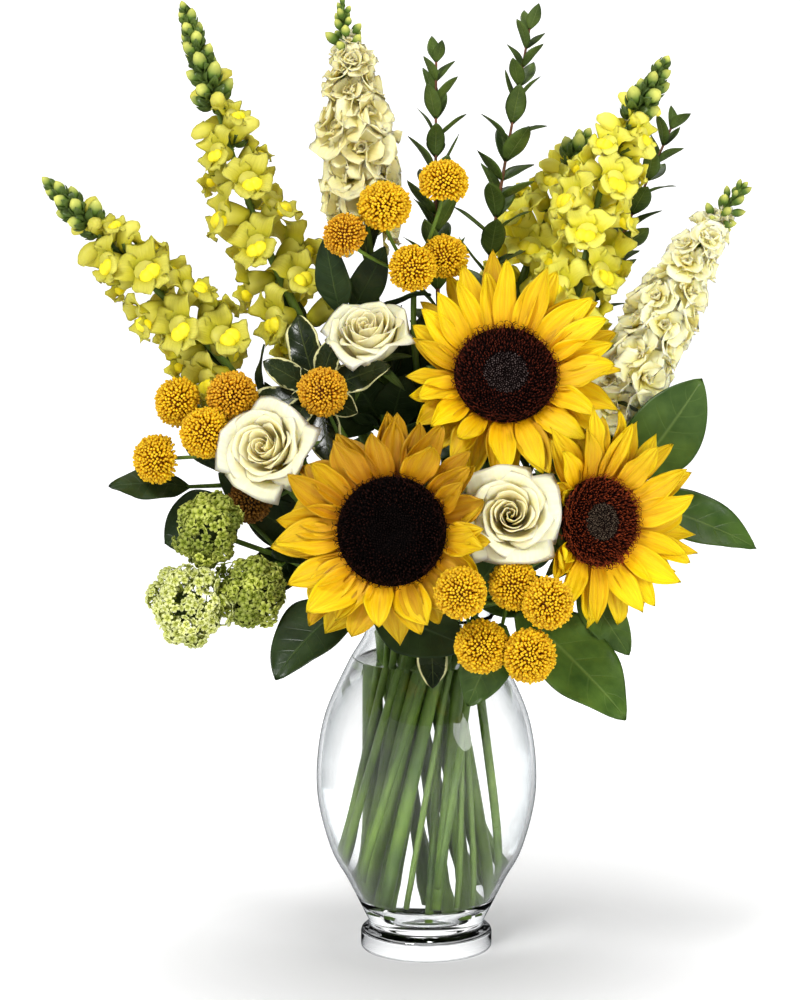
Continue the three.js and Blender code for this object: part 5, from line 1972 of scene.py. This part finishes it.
@dataclass
class Myrtle(Spike):
    """A twig of pointed leaves in crossed pairs, each pair turned past the one above by STEP degrees."""

    STEP = 103.0

    kind: str = "myrtle"
    stem_radius: float = 1.7
    leafy: float = 150.0
    leaf: float = 28.0
    pitch: float = 11.5

    def leaves(self) -> list[Form]:
        """The leaf's templates.

        Returns:
            The templates, along X.
        """
        made = []
        for i in range(4):
            blade = Blade(length=self.leaf * (1 + 0.06 * (i % 2)), width=self.leaf * 0.5, thick=0.6, root_width=0.16,
                          widest=0.42, point=0.9, lift=-6 + 5 * i, curl=12 - 17 * i, cup=0.22, groove=-0.12,
                          grooves=0.5, wave=0.35, waves=1.3, phase=i * 0.3, twist=-12 + 8 * i, rows=10, cols=7)
            made.append(blade.form().placed(moved(1.0, 0, 0)).marked(tint=0.25 * i))
        return made

    def build(self) -> None:
        """Makes the twig."""
        route, curve = self.stalk()
        self.stem(route, 0.45, Look.TWIG)
        count = round(self.leafy / self.pitch)
        for half in (0, 180):
            self.strew("leaves_b" if half else "leaves_a", Look.MYRTLE, self.leaves(), curve, First=0.002,
                       Last=self.leafy * MM, Count=count, Seed=self.seed + half, Start=math.radians(25 + half),
                       Step=math.radians(self.STEP), Tip_Slant=0.5, Low_Slant=1.15, Lean=0.25, Tip_Size=0.6,
                       Low_Size=1.0, Full_At=0.25, Vary=0.1)


@dataclass
class Button:
    """One button chrysanthemum: quilled florets packed on a flattened ball.

    CORE and BACK are shares of the head's radius, and MADE_FOR is the radius that a quill's template fits.
    """

    CORE = 0.66
    FLATNESS = 0.88
    BACK = 0.64
    MADE_FOR = 14.0
    QUILLS_PER_MM2 = 2.45

    name: str
    at: Vec
    radius: float
    face: Vec
    seed: int
    look: Look = Look.QUILL

    @staticmethod
    def quills() -> list[Form]:
        """The quill's templates, along X: a narrow tube that opens to a rounded tip.

        Returns:
            The templates.
        """
        made = []
        for i in range(4):
            reach = 5.4 + 0.35 * i
            line = [(0, 0), (0.5, 0.3), (0.62, reach * 0.5), (0.96, reach * 0.88), (0.6, reach), (0, reach * 0.9)]
            made.append(lathe(line, 5).placed(tipped(90)))
        return made

    def build(self, node: str) -> None:
        """Makes the head.

        Args:
            node: The solid that the head stands for.
        """
        head_place = head_frame(self.at, self.face)
        core, size = self.radius * self.CORE, self.radius / self.MADE_FOR
        mesh = Trees.get("dome").run(
            f"{self.name}_button_quills", self.quills(), Finish=self.look.material(), Seed=self.seed,
            Count=round(self.QUILLS_PER_MM2 * self.radius**2), Radius=core * MM, Flatness=self.FLATNESS, Cover=2.25,
            Inner_Size=size * 0.86, Outer_Size=size * 1.04, Unevenness=0.04, Vary=0.1, Lean=0.14)
        show(f"{self.name}_button_quills", self.look, put(mesh, head_place), node)
        # The core dome takes the quills' deepest colour: the head's body, and painted shade under and between the
        # quills.
        dome = [(core * math.sin(a), -core * self.FLATNESS * math.cos(a)) for a in np.linspace(0, math.pi, 10)]
        dome[0], dome[-1] = (0, dome[0][1]), (0, dome[-1][1])
        core_form = lathe(dome, 20).marked(along=0.0, tint=0.8)
        show(f"{self.name}_button_core", self.look, core_form.placed(head_place), node)

    def cup(self) -> Form:
        """The green cup under the head, from its twig.

        Returns:
            The cup, in the bouquet's frame.
        """
        back = -self.radius * self.BACK
        line = [(0, back - 3), (1.3, back - 2.6), (3.2, back - 1.2), (self.radius * 0.42, back + 0.8),
                (self.radius * 0.6, back + 3.2), (0, back + 2.5)]
        return lathe(line, 16).marked(along=0.4, across=0.5, tint=0.4).placed(head_frame(self.at, self.face))


def twig(fork: Vec, neck: np.ndarray, seat: np.ndarray, radius: float) -> Form:
    """A side twig that leaves the fork and comes straight into a head from behind.

    Args:
        fork: Where it starts.
        neck: The point behind the head that it is drawn towards.
        seat: Where it ends.
        radius: Its radius.

    Returns:
        The closed form.
    """
    a, b, c = (np.array(p, float) for p in (fork, neck, seat))
    t = np.linspace(0, 1, 13)[:, None]
    bow = a * (1 - t) ** 3 + 3 * (a + (b - a) * 0.4) * t * (1 - t) ** 2 + 3 * b * t**2 * (1 - t) + c * t**3
    return tube(bow, np.full(13, radius), 8)


@dataclass
class ButtonSpray:
    """A spray of button chrysanthemums on one forked stem."""

    name: str
    slot: tuple[str, float]
    route: tuple[Vec, ...]
    heads: tuple[tuple[Vec, float, Vec], ...]
    seed: int = 100
    looks: tuple[Look, ...] = ()

    def build(self) -> None:
        """Makes the heads, their cups and the forked stem."""
        node = f"button_{self.name}"
        stems = [Route(self.slot, self.route).stem(2.2, 0.8, 10)]
        cups = []
        for i, (at, radius, face) in enumerate(self.heads):
            look = self.looks[i] if i < len(self.looks) else Look.QUILL
            head = Button(f"{self.name}_{i + 1}", at, radius, face, self.seed + i, look)
            head.build(f"{node}_head_{i + 1}")
            axis = unit(np.array(face, float))
            seat = np.array(at, float) - axis * (radius * Button.BACK + 1)
            stems.append(twig(self.route[-1], seat - axis * 9, seat, 1.15))
            cups.append(head.cup())
        show(f"{self.name}_button_stem", Look.STEM, Form.join(stems), f"{node}_stem")
        show(f"{self.name}_button_cups", Look.CALYX, Form.join(cups), f"{node}_stem")


@dataclass
class Viburnum:
    """A spray of lime-green snowball heads, each a ball of tiny five-petalled florets.

    CLUSTER is how far a cluster of florets stands out of its head's ball, and CORE the core's radius as a
    share of the head's. The heads whose numbers are in pale are in the light and get a paler finish: painted light.
    """

    CLUSTERS_PER_MM2 = 0.05
    CLUSTER = 6.6
    CORE = 0.42

    slot: tuple[str, float] = ("outer", 118)
    route: tuple[Vec, ...] = ((-52, -8, 232), (-86, -20, 250))
    heads: tuple[tuple[Vec, float], ...] = (((-132, -45, 271), 21), ((-144, -62, 228), 24), ((-105, -60, 238), 21))
    leaf: tuple[Vec, Vec, float, Vec] = ((-116, -14, 282), (-158, -14, 256), 44, (0, -1, 0.2))
    pale: tuple[int, ...] = (1,)

    @staticmethod
    def floret(turn: float, opening: float) -> Form:
        """One floret on its stalk, along X: five rounded petals round a raised eye.

        Args:
            turn: Its turn about X, in degrees.
            opening: How far it has opened.

        Returns:
            The form.
        """
        parts = [tube(np.array([[-5.6, 0, 0], [0.2, 0, 0], [0.9, 0, 0]]), np.array([0.35, 0.45, 0.35]), 4)]
        parts[0].values["along"] = parts[0].values["along"] * 0.5
        for k in range(5):
            a = math.radians(72 * k + turn)
            reach, lift = 3.3 * opening, 0.4 + 1.3 * (1.1 - opening)
            shape = ((0.5, 0.0, 0.0), (1.6, 1.25, lift * 0.5), (reach, 1.0, lift), (reach + 0.3, 0, lift * 1.1),
                     (reach, -1.0, lift), (1.6, -1.25, lift * 0.5))
            front = np.array([(h + 0.25, r * math.cos(a) - w * math.sin(a), r * math.sin(a) + w * math.cos(a))
                              for r, w, h in shape])
            points = np.concatenate([front, front - [0.45, 0, 0]])
            quads = [(0, 1, 2, 3), (0, 3, 4, 5), (9, 8, 7, 6), (11, 10, 9, 6)]
            quads += [(j, j + 6, (j + 1) % 6 + 6, (j + 1) % 6) for j in range(6)]
            along = np.array([r / 3 for r, _, _ in shape] * 2)
            parts.append(Form(points, np.array(quads), values={"along": np.clip(along, 0, 1)}))
        return Form.join(parts)

    @staticmethod
    def core(radius: float) -> Form:
        """The dark, slightly flattened ball inside a head: its stalks, and painted shade between the clusters.

        Args:
            radius: The ball's radius.

        Returns:
            The closed form.
        """
        angles = np.linspace(0, math.pi, 10)
        radii = [0, *(radius * math.sin(a) for a in angles[1:-1]), 0]
        return lathe([(r, -radius * 0.95 * math.cos(a)) for r, a in zip(radii, angles)], 18)

    def umbels(self) -> list[Form]:
        """The templates: small clusters of florets on a branch, along X.

        Returns:
            The templates.
        """
        s = np.random.default_rng(9)
        made = []
        for count in (8, 10, 11):
            branch = tube(np.array([[-9.0, 0, 0], [-4.0, 0.3, 0], [0.6, 0, 0]]), np.array([0.6, 0.6, 0.7]), 5)
            parts = [branch.marked(along=0.1)]
            for k in range(count):
                slant = math.degrees(math.acos(1 - (k + 0.5) / count * 0.85)) + s.uniform(-8, 8)
                floret = self.floret(s.uniform(0, 72), s.uniform(0.72, 1.12))
                way = rolled(k * GOLDEN_ANGLE) @ tipped(slant)
                parts.append(floret.placed(way @ moved(s.uniform(4.8, 8.4), 0, 0)))
            made.append(Form.join(parts))
        return made

    def build(self) -> None:
        """Makes the heads, the stem and the leaf."""
        stems = [Route(self.slot, self.route).stem(2.4, 0.8, 10)]
        fork = np.array(self.route[-1], float)
        for i, (at, radius) in enumerate(self.heads):
            out = np.array(at, float) - fork
            head_place = head_frame(at, out)
            node = f"viburnum_head_{i + 1}"
            # Heads in the light take the paler florets: painted light.
            look = Look.PALE_LIME if i in self.pale else Look.LIME
            mesh = Trees.get("dome").run(
                f"viburnum_florets_{i + 1}", self.umbels(), Finish=look.material(), Seed=210 + i,
                Count=round(self.CLUSTERS_PER_MM2 * radius**2), Radius=(radius - self.CLUSTER) * MM,
                Flatness=0.9, Cover=2.6, Inner_Size=1.0, Outer_Size=1.16, Unevenness=0.2, Vary=0.18, Lean=0.4)
            show(f"viburnum_florets_{i + 1}", look, put(mesh, head_place), node)
            core = self.core(radius * self.CORE)
            show(f"viburnum_core_{i + 1}", Look.LIME_CORE, core.placed(head_place), node)
            axis = head_place[:3, 2]
            seat = np.array(at) - axis * radius * 0.75
            stems.append(twig(fork, seat - axis * 8, seat, 1.6))
        stems.append(BroadLeaf(*self.leaf).petiole(fork))
        show("viburnum_twigs", Look.STEM, Form.join(stems), "viburnum_stem")
        show("viburnum_leaf", Look.LEAF, BroadLeaf(*self.leaf).form(7), "viburnum_stem")


@dataclass(frozen=True)
class BroadLeaf:
    """A broad leaf: where it starts and ends, how wide it is, and the way that its face looks."""

    RIBS = 6.0
    RIB_SLANT = 1.3
    RIB_HEIGHT = 0.32

    base: Vec
    tip: Vec
    width: float
    face: Vec

    def form(self, seed: int) -> Form:
        """The leaf's blade.

        Args:
            seed: The seed of its bends.

        Returns:
            The closed form, in the bouquet's frame.
        """
        s = np.random.default_rng(seed)
        along = np.array(self.tip, float) - np.array(self.base, float)
        length = float(np.linalg.norm(along)) * 1.03
        blade = Blade(length=length, width=self.width, thick=0.9, root_width=0.12, widest=0.42, point=0.85,
                      lift=11.5 + s.uniform(-3, 3), curl=-24 + s.uniform(-6, 6), cup=0.14 + s.uniform(0, 0.12),
                      groove=-0.5, grooves=0.5, wave=s.uniform(0.9, 1.9), waves=s.uniform(1.6, 2.6),
                      phase=s.uniform(0, 1), side_bend=s.uniform(-4, 4), twist=s.uniform(-9, 9), rows=25, cols=17)
        form = blade.form()
        reach, across = form.values["along"], np.abs(form.values["across"])
        rib = np.sin((reach * self.RIBS - across * self.RIB_SLANT) * 2 * math.pi)
        form.points[:, 2] += self.RIB_HEIGHT * rib * smooth(0.04, 0.3, across) * (1 - smooth(0.85, 1.0, across))
        return form.marked(tint=s.uniform(0, 0.8)).placed(line_frame(self.base, along, self.face))

    def petiole(self, fork: Vec) -> Form:
        """The stalk, from the fork into the blade's root.

        Args:
            fork: The fork's place.

        Returns:
            The closed form.
        """
        a, b, c = np.array(fork, float), np.array(self.base, float), np.array(self.tip, float)
        t = np.linspace(0, 1, 11)[:, None]
        end = b + (c - b) * 0.06
        bow = a * (1 - t) ** 2 + 2 * (a * 0.4 + b * 0.6) * t * (1 - t) + end * t**2
        return tube(bow, np.linspace(1.5, 1.1, 11), 8)


@dataclass
class LeafStem:
    """A stem that carries broad leaves."""

    name: str
    slot: tuple[str, float]
    route: tuple[Vec, ...]
    leaves: tuple[tuple[Vec, Vec, float, Vec], ...]
    look: Look = Look.LEAF
    seed: int = 1
    low: tuple[tuple[Vec, Vec, float, Vec], ...] = ()

    def build(self) -> None:
        """Makes the stem, the leaves at its tip and those lower down."""
        tip, lower = self.route[-1], self.route[-2]
        grown = [BroadLeaf(*leaf) for leaf in (*self.leaves, *self.low)]
        forks = [tip] * len(self.leaves) + [lower] * len(self.low)
        stems = [Route(self.slot, self.route).stem(2.2, 0.8, 10)]
        stems += [leaf.petiole(fork) for leaf, fork in zip(grown, forks)]
        show(f"{self.name}_leaf_stem", Look.STEM, Form.join(stems), f"leaves_{self.name}")
        blades = Form.join([leaf.form(self.seed + i) for i, leaf in enumerate(grown)])
        show(f"{self.name}_leaf_blades", self.look, blades, f"leaves_{self.name}")


@dataclass
class EdgedSprig:
    """A sprig that ends in a whorl of dark, glossy leaves with cream edges."""

    name: str
    slot: tuple[str, float]
    route: tuple[Vec, ...]
    face: Vec
    turn: float
    leaf: float
    count: int
    seed: int = 5

    def build(self) -> None:
        """Makes the stem and the whorl."""
        head_place = head_frame(self.route[-1], self.face)
        s = np.random.default_rng(self.seed)
        made = []
        for i in range(self.count):
            size = 0.78 if i % 2 else 1.0
            blade = Blade(length=self.leaf * size, width=0.43 * self.leaf * size, thick=0.8, root_width=0.12,
                          widest=0.58, point=0.8, lift=20 if i % 2 == 0 else 40, curl=-30 + s.uniform(-8, 8),
                          cup=0.25, groove=-0.3, grooves=0.5,
                          wave=s.uniform(1.0, 1.9), waves=s.uniform(2.0, 3.0), phase=s.uniform(0, 1),
                          twist=s.uniform(-14, 14), rows=19, cols=13)
            place = turned(360 * i / self.count + self.turn) @ moved(0.8, 0, 0)
            made.append(blade.form().marked(tint=s.uniform(0, 1)).placed(head_place @ place))
        if self.count > 3:
            for i in range(4):
                blade = Blade(length=self.leaf * 0.42, width=8, thick=0.7, root_width=0.2, widest=0.5, lift=58,
                              curl=-20, cup=0.35, wave=0.6, rows=11, cols=7)
                made.append(blade.form().marked(tint=0.1).placed(head_place @ turned(90 * i + 30) @ moved(0.4, 0, 1)))
        show(f"{self.name}_edged_leaves", Look.EDGED, Form.join(made), f"variegated_{self.name}")
        stem = Route(self.slot, self.route).stem(1.7, 0.8, 9)
        show(f"{self.name}_edged_stem", Look.STEM, stem, f"variegated_{self.name}")


# ---- studio ----
@dataclass
class Studio:
    """The pale floor, the soft lights and the camera at the photograph's angle.

    Each glow is a span of distance or height, in metres, and the strengths at its two ends.
    """

    SENSOR = 36.0
    MIDDLE = (0.0, 0.0, 0.32)

    camera_place: Vec = (-0.0165, -2.2, 0.62)
    camera_tilt: float = 8.70
    lens: float = 129.85
    floor_drop: float = 0.0004
    near_glow: Vec = (0.06, 0.25, 0.08, 0.6)
    far_glow: Vec = (0.25, 0.8, 0.0, 0.34)
    wall_glow: Vec = (1.0, 3.4, 1.0, 0.3)
    sky_glow: Vec = (0.3, 0.9, 0.36, 0.3)

    def camera(self) -> None:
        """Sets the camera."""
        data = bpy.data.cameras.new("camera")
        data.lens, data.sensor_width, data.clip_start = self.lens, self.SENSOR, 0.01
        camera = bpy.data.objects.new("camera", data)
        camera.location = self.camera_place
        camera.rotation_euler = (math.radians(90 - self.camera_tilt), 0, 0)
        bpy.context.scene.collection.objects.link(camera)
        bpy.context.scene.camera = camera

    def light(self, name: str, place: Vec, size: float, power: float, mirrored: bool = True) -> None:
        """Sets one soft area light that looks at the bouquet's middle.

        Args:
            name: Its name.
            place: Where it stands, in metres.
            size: Its width.
            power: Its power in watts.
            mirrored: Whether the glass and the leaves show its reflection.
        """
        data = bpy.data.lights.new(name, "AREA")
        data.shape, data.size, data.energy = "DISK", size, power
        lamp = bpy.data.objects.new(name, data)
        lamp.visible_glossy = mirrored
        way = np.array(self.MIDDLE) - np.array(place)
        lamp.location = place
        flat = math.hypot(way[0], way[1])
        lamp.rotation_euler = (math.atan2(flat, -way[2]), 0, math.atan2(-way[0], way[1]))
        bpy.context.scene.collection.objects.link(lamp)

    def floor(self) -> None:
        """Lays the pale floor, a hair under the foot, which rises in one sweep far away on every side."""
        low = -self.floor_drop
        sweep = ((0.3, low), (1.0, low), (3.0, low), (5.0, low), (5.7, 0.08), (6.3, 0.4), (6.8, 1.1), (7.0, 2.2),
                 (7.0, 4.0))
        sides = 96
        turns = [2 * math.pi * k / sides for k in range(sides)]
        points = [(0.0, 0.0, low)] + [(r * math.cos(a), r * math.sin(a), z) for r, z in sweep for a in turns]
        faces: list[tuple[int, ...]] = [(0, 1 + k, 1 + (k + 1) % sides) for k in range(sides)]
        for ring in range(len(sweep) - 1):
            near, far = 1 + ring * sides, 1 + (ring + 1) * sides
            faces += [(near + k, far + k, far + (k + 1) % sides, near + (k + 1) % sides) for k in range(sides)]
        mesh = bpy.data.meshes.new("floor")
        mesh.from_pydata(points, [], faces)
        mesh.shade_smooth()
        s = Shader("pale_floor")
        tone = s.noise(s.place(), 6.0, 2.0)
        reach = s.add("ShaderNodeVectorMath", (s.place(),), operation="LENGTH").outputs[1]
        height = s.add("ShaderNodeSeparateXYZ", (s.place(),)).outputs[2]
        glow = s.math("ADD", s.span(reach, *self.near_glow), s.span(reach, *self.far_glow))
        s.set(Base_Color=s.mix(tone, rgb(207, 207, 207), rgb(211, 211, 211)), Roughness=0.9)
        s.set(Emission_Color=(1.0, 1.0, 1.0))
        s.set(Emission_Strength=s.math("MULTIPLY", glow, s.span(height, *self.wall_glow)))
        mesh.materials.append(s.material)
        floor = bpy.data.objects.new("floor", mesh)
        floor.visible_glossy = False
        bpy.context.scene.collection.objects.link(floor)

    def build(self) -> None:
        """Sets the whole studio."""
        scene = bpy.context.scene
        scene.view_settings.view_transform = "Standard"
        scene.view_settings.look = "None"
        world = bpy.data.worlds.new("soft_white")
        world.use_nodes = True
        nodes, links = world.node_tree.nodes, world.node_tree.links
        way = nodes.new("ShaderNodeSeparateXYZ")
        links.new(nodes.new("ShaderNodeTexCoord").outputs["Generated"], way.inputs[0])
        share = nodes.new("ShaderNodeMapRange")
        links.new(way.outputs[2], share.inputs[0])
        for i, value in enumerate(self.sky_glow):
            share.inputs[i + 1].default_value = value
        links.new(share.outputs[0], nodes["Background"].inputs[1])
        scene.world = world
        self.camera()
        self.light("key", (-1.2, -1.6, 2.3), 0.8, 52.0)
        self.light("fill", (1.8, -1.8, 1.1), 1.2, 30.0, mirrored=False)
        self.light("top", (0.1, 0.5, 2.2), 1.2, 14.0)
        self.floor()


# ---- bouquet ----
# A Ray gives angle, length, width, lift, curl and share of painted shade; the left flower's upper rays carry the most,
# as the top flower's painted shadow.
SUNFLOWERS = (
    Sunflower("top", (47, -36, 364), (0.02, -0.86, 0.5), 31.5, ("inner", 210), ((22, 6, 285),), 11,
              Look.SEED_TOP, Look.EYE_TOP, (
        Ray(0, 46, 22, 12, -8, 0.1), Ray(45, 48, 19, 22, -6, 0.2), Ray(90, 50, 16, 30, -4, 0.3),
        Ray(135, 44, 17, 20, -6, 0.35), Ray(180, 34, 18, 12, -6, 0.3), Ray(225, 34, 19, 6, -6, 0.2),
        Ray(270, 44, 19, -4, 4, 0.1), Ray(315, 44, 21, 4, 0, 0.1))),
    Sunflower("left", (-21, -95, 279), (-0.12, -0.96, 0.2), 33, ("outer", 168), (), 12,
              Look.SEED_LEFT, Look.EYE_LEFT, (
        Ray(0, 29, 20, 12, 20, 0.5), Ray(45, 36, 19, 14, -10, 0.9), Ray(90, 40, 21, 10, -16, 1.0),
        Ray(135, 38, 22, 8, -14, 1.0), Ray(180, 44, 25, 10, -8, 0.45), Ray(225, 42, 25, 8, -6, 0.4),
        Ray(270, 36, 23, 0, -6, 0.45), Ray(315, 31, 21, -10, -14, 0.5))),
    Sunflower("right", (101, -70, 281), (0.48, -0.86, 0.12), 27, ("middle", 254), (), 13,
              Look.SEED_RIGHT, Look.EYE_RIGHT, (
        Ray(0, 44, 19, 10, -6, 0.2), Ray(50, 46, 17, 14, -8, 0.2), Ray(90, 44, 17, 12, -8, 0.3),
        Ray(128, 34, 16, 6, -8, 0.3), Ray(145, 4, 14, 0, 0, 0.3), Ray(200, 4, 14, 0, 0, 0.3),
        Ray(214, 26, 14, 10, 40, 0.2), Ray(250, 36, 16, -6, 0, 0.2), Ray(300, 44, 18, 4, -6, 0.1))),
)
ROSES = (
    Rose("upper", (-36, -22, 387), (-0.14, -0.58, 0.8), ("inner", 140), (), 21, open=0.8),
    Rose("left", (-96, -60, 323), (-0.35, -0.85, 0.4), ("middle", 146), ((-44, -14, 250),), 22, open=1.05),
    Rose("centre", (49, -86, 287), (0, -0.95, 0.3), ("middle", 225), (), 23, open=1.1),
)
SNAPDRAGONS = (
    # The two left spikes lie in shade, so they take the darker lip: painted shade.
    Snapdragon("left", ("middle", 88), ((-60, 14, 280), (-124, 4, 368), (-181, 0, 429), (-231, 10, 477)),
               48, 120, 31, floret_count=16, look=Look.DULL_LIP),
    Snapdragon("upper_left", ("middle", 50), ((-30, 25, 300), (-81, 24, 399), (-106, 30, 454), (-125, 35, 509),
               (-150, 40, 584)), 75, 150, 32, floret_count=18, look=Look.DULL_LIP),
    Snapdragon("right", ("inner", 288), ((50, 8, 310), (91, 15, 406), (111, 25, 485), (146, 30, 551)),
               48, 140, 33, floret_count=19),
    Snapdragon("back", ("middle", 338), ((40, 40, 320), (60, 76, 410), (76, 88, 449), (101, 94, 503)),
               24, 100, 34, floret_count=15),
)
STOCKS = (
    Stock("top", ("inner", 40), ((-22, 14, 330), (-38, 18, 455), (-44, 20, 516), (-52, 25, 586)), 42, 100, 41,
          look=Look.STRAW),
    Stock("right", ("middle", 284), ((62, 8, 285), (121, -5, 355), (161, 0, 432), (192, 0, 477)), 42, 125, 42,
          floret_count=28, floret_size=0.96),
)
MYRTLES = (
    Myrtle("left", ("middle", 20), ((10, 36, 330), (6, 47, 447), (6, 60, 551)), 0, 0, 51, leafy=285),
    Myrtle("middle", ("middle", 0), ((28, 44, 330), (42, 50, 445), (64, 60, 571)), 0, 0, 52, leafy=310),
    Myrtle("right", ("middle", 308), ((70, 27, 310), (109, 58, 409), (154, 74, 509)), 0, 0, 53, leafy=250),
)
BUTTONS = (
    ButtonSpray("front", ("outer", 208), ((-2, -39, 219), (20, -62, 229)), (
        ((19, -115, 246), 14.5, (-0.1, -0.9, 0.4)), ((51, -96, 247), 14, (0.1, -0.9, 0.3)),
        ((71, -106, 238), 14.5, (0.4, -0.9, 0.1)), ((32, -101, 211), 15, (0, -0.95, 0.2)),
        ((60, -105, 206), 15, (0.3, -0.95, 0))), 100),
    ButtonSpray("left", ("middle", 116), ((-60, -5, 262), (-105, -18, 315)), (
        ((-152, -20, 347), 14, (-0.8, -0.5, 0.3)), ((-118, -30, 352), 14.5, (0.1, -0.7, 0.7)),
        ((-134, -42, 331), 14.5, (-0.2, -0.9, 0.3)), ((-165, -30, 313), 14, (-0.9, -0.4, 0))), 110,
        (Look.QUILL, Look.AMBER)),
    ButtonSpray("top", ("middle", 200), ((-4, 8, 330), (-8, 9, 385), (-8, 8, 420)), (
        ((-26, -16, 466), 15, (0, -0.5, 0.85)), ((10, -10, 480), 14, (0.1, -0.2, 0.95)),
        ((-9, -24, 429), 13.5, (-0.2, -0.8, 0.6)), ((11, -2, 434), 13.5, (0.3, -0.4, 0.85)),
        ((-50, -22, 449), 12.5, (-0.5, -0.5, 0.7))), 120, (*[Look.QUILL] * 4, Look.AMBER)),
    # The centre spray's lower head lies in shade and takes the darker quills: painted shade.
    ButtonSpray("centre", ("middle", 175), ((-21, -4, 228), (-34, -18, 268), (-48, -34, 315)), (
        ((-63, -52, 357), 14, (0, -0.9, 0.4)), ((-108, -24, 287), 13, (-0.7, -0.7, 0.2))), 130,
        (Look.AMBER, Look.RUSSET)),
)
LEAF_STEMS = (
    LeafStem("left", ("outer", 96), ((-68, 8, 252), (-124, 4, 292)), (
        ((-146, -10, 293), (-194, -26, 296), 23, (0, -0.9, 0.7)),
        ((-124, 6, 300), (-140, 10, 354), 40, (-0.2, -1, 0))), seed=1, low=(
        ((-76, 4, 260), (-112, -12, 282), 30, (-0.2, -1, 0.3)), ((-76, 0, 248), (-117, -28, 228), 30, (-0.2, -1, 0.4)),
        ((-80, 6, 266), (-128, 0, 300), 30, (-0.3, -1, 0.2)), ((-70, 4, 264), (-86, -8, 304), 28, (0, -1, 0.2)),
        ((-72, 0, 250), (-94, -30, 250), 26, (-0.1, -1, 0.5)))),
    LeafStem("front_left", ("outer", 138), ((-35, -8, 219), (-40, -38, 232)), (
        ((-42, -48, 231), (-91, -88, 187), 46, (-0.3, -0.6, 0.8)),
        ((-34, -58, 226), (24, -68, 205), 40, (0, -1, 0.25))), Look.LEAF, 4),
    LeafStem("front_right", ("outer", 228), ((18, -34, 219), (48, -50, 229)), (
        ((54, -54, 225), (117, -82, 163), 52, (0.3, -0.8, 0.5)), ((46, -62, 217), (22, -72, 171), 32, (0.1, -1, 0.2)),
        ((92, -46, 240), (120, -58, 197), 26, (0.2, -1, 0.2))), Look.SALAL, 8, (
        ((28, -38, 227), (83, -50, 238), 28, (0, -1, 0.3)), ((24, -36, 226), (46, -44, 256), 26, (0, -1, 0.2)))),
    LeafStem("right", ("outer", 262), ((48, -12, 235), (106, 2, 268), (122, 0, 292)), (
        ((124, -16, 299), (167, -24, 360), 46, (0.3, -1, 0.2)),
        ((128, 0, 284), (199, -18, 252), 38, (0.2, -0.8, 0.6))), Look.SALAL, 12, (
        ((107, 4, 280), (110, 6, 348), 30, (0, -1, 0.1)), ((98, -2, 276), (78, -16, 302), 28, (0, -1, 0.2)))),
    LeafStem("upper", ("inner", 345), ((-22, 26, 320), (-52, 10, 388)), (
        ((-53, 6, 398), (-60, -4, 446), 22, (-0.2, -1, 0.2)), ((-46, 14, 399), (-24, 4, 438), 22, (0.2, -1, 0.3))),
        seed=15, low=(
        ((-32, 20, 326), (-80, -4, 354), 32, (-0.2, -1, 0.3)), ((-17, 20, 328), (3, 2, 366), 28, (0.2, -1, 0.3)),
        ((-27, 18, 328), (-47, -12, 368), 30, (-0.1, -1, 0.2)), ((-22, 18, 326), (-16, -8, 362), 30, (0, -1, 0.3)),
        ((-16, 26, 334), (2, 14, 404), 26, (0.2, -1, 0.1)), ((-14, 22, 318), (16, -8, 314), 28, (0.1, -1, 0.3)))),
    LeafStem("back_right", ("outer", 330), ((50, 45, 250), (78, 72, 300)), (
        ((50, 52, 250), (70, 112, 218), 46, (0.2, 0.6, 0.8)), ((80, 76, 305), (108, 92, 372), 44, (0.3, 1, 0))),
        seed=18, low=(
        ((54, 50, 262), (98, 68, 264), 36, (0.3, 1, 0.4)), ((46, 44, 262), (36, 76, 312), 34, (0, 1, 0.3)))),
    LeafStem("back_left", ("outer", 30), ((-22, 55, 250), (-55, 78, 300)), (
        ((-20, 60, 250), (-36, 118, 216), 46, (-0.2, 0.6, 0.8)), ((-58, 80, 304), (-84, 92, 372), 44, (-0.3, 1, 0))),
        seed=21, low=(
        ((-28, 58, 262), (-76, 72, 266), 36, (-0.3, 1, 0.4)), ((-16, 58, 262), (-6, 86, 316), 34, (0, 1, 0.3)))),
)
EDGED = (
    EdgedSprig("left", ("inner", 92), ((-26, 13, 262), (-42, 6, 306), (-66, -14, 352)), (-0.3, -0.9, 0.3), 20, 50, 8),
    EdgedSprig("front", ("outer", 189), ((-10, -36, 222), (2, -49, 220)), (0, -1, 0), 272, 44, 2),
)


def main() -> None:
    """Builds the studio and every part of the bouquet."""
    logging.basicConfig(level=logging.INFO, format="%(message)s")
    Studio().build()
    parts = (Vase(), *SUNFLOWERS, *ROSES, *SNAPDRAGONS, *STOCKS, *MYRTLES, *BUTTONS, Viburnum(), *LEAF_STEMS, *EDGED)
    for part in parts:
        part.build()
    for spare in [o for o in bpy.data.objects if o.type == "CURVE"]:
        bpy.data.objects.remove(spare)


if __name__ == "__main__":
    main()
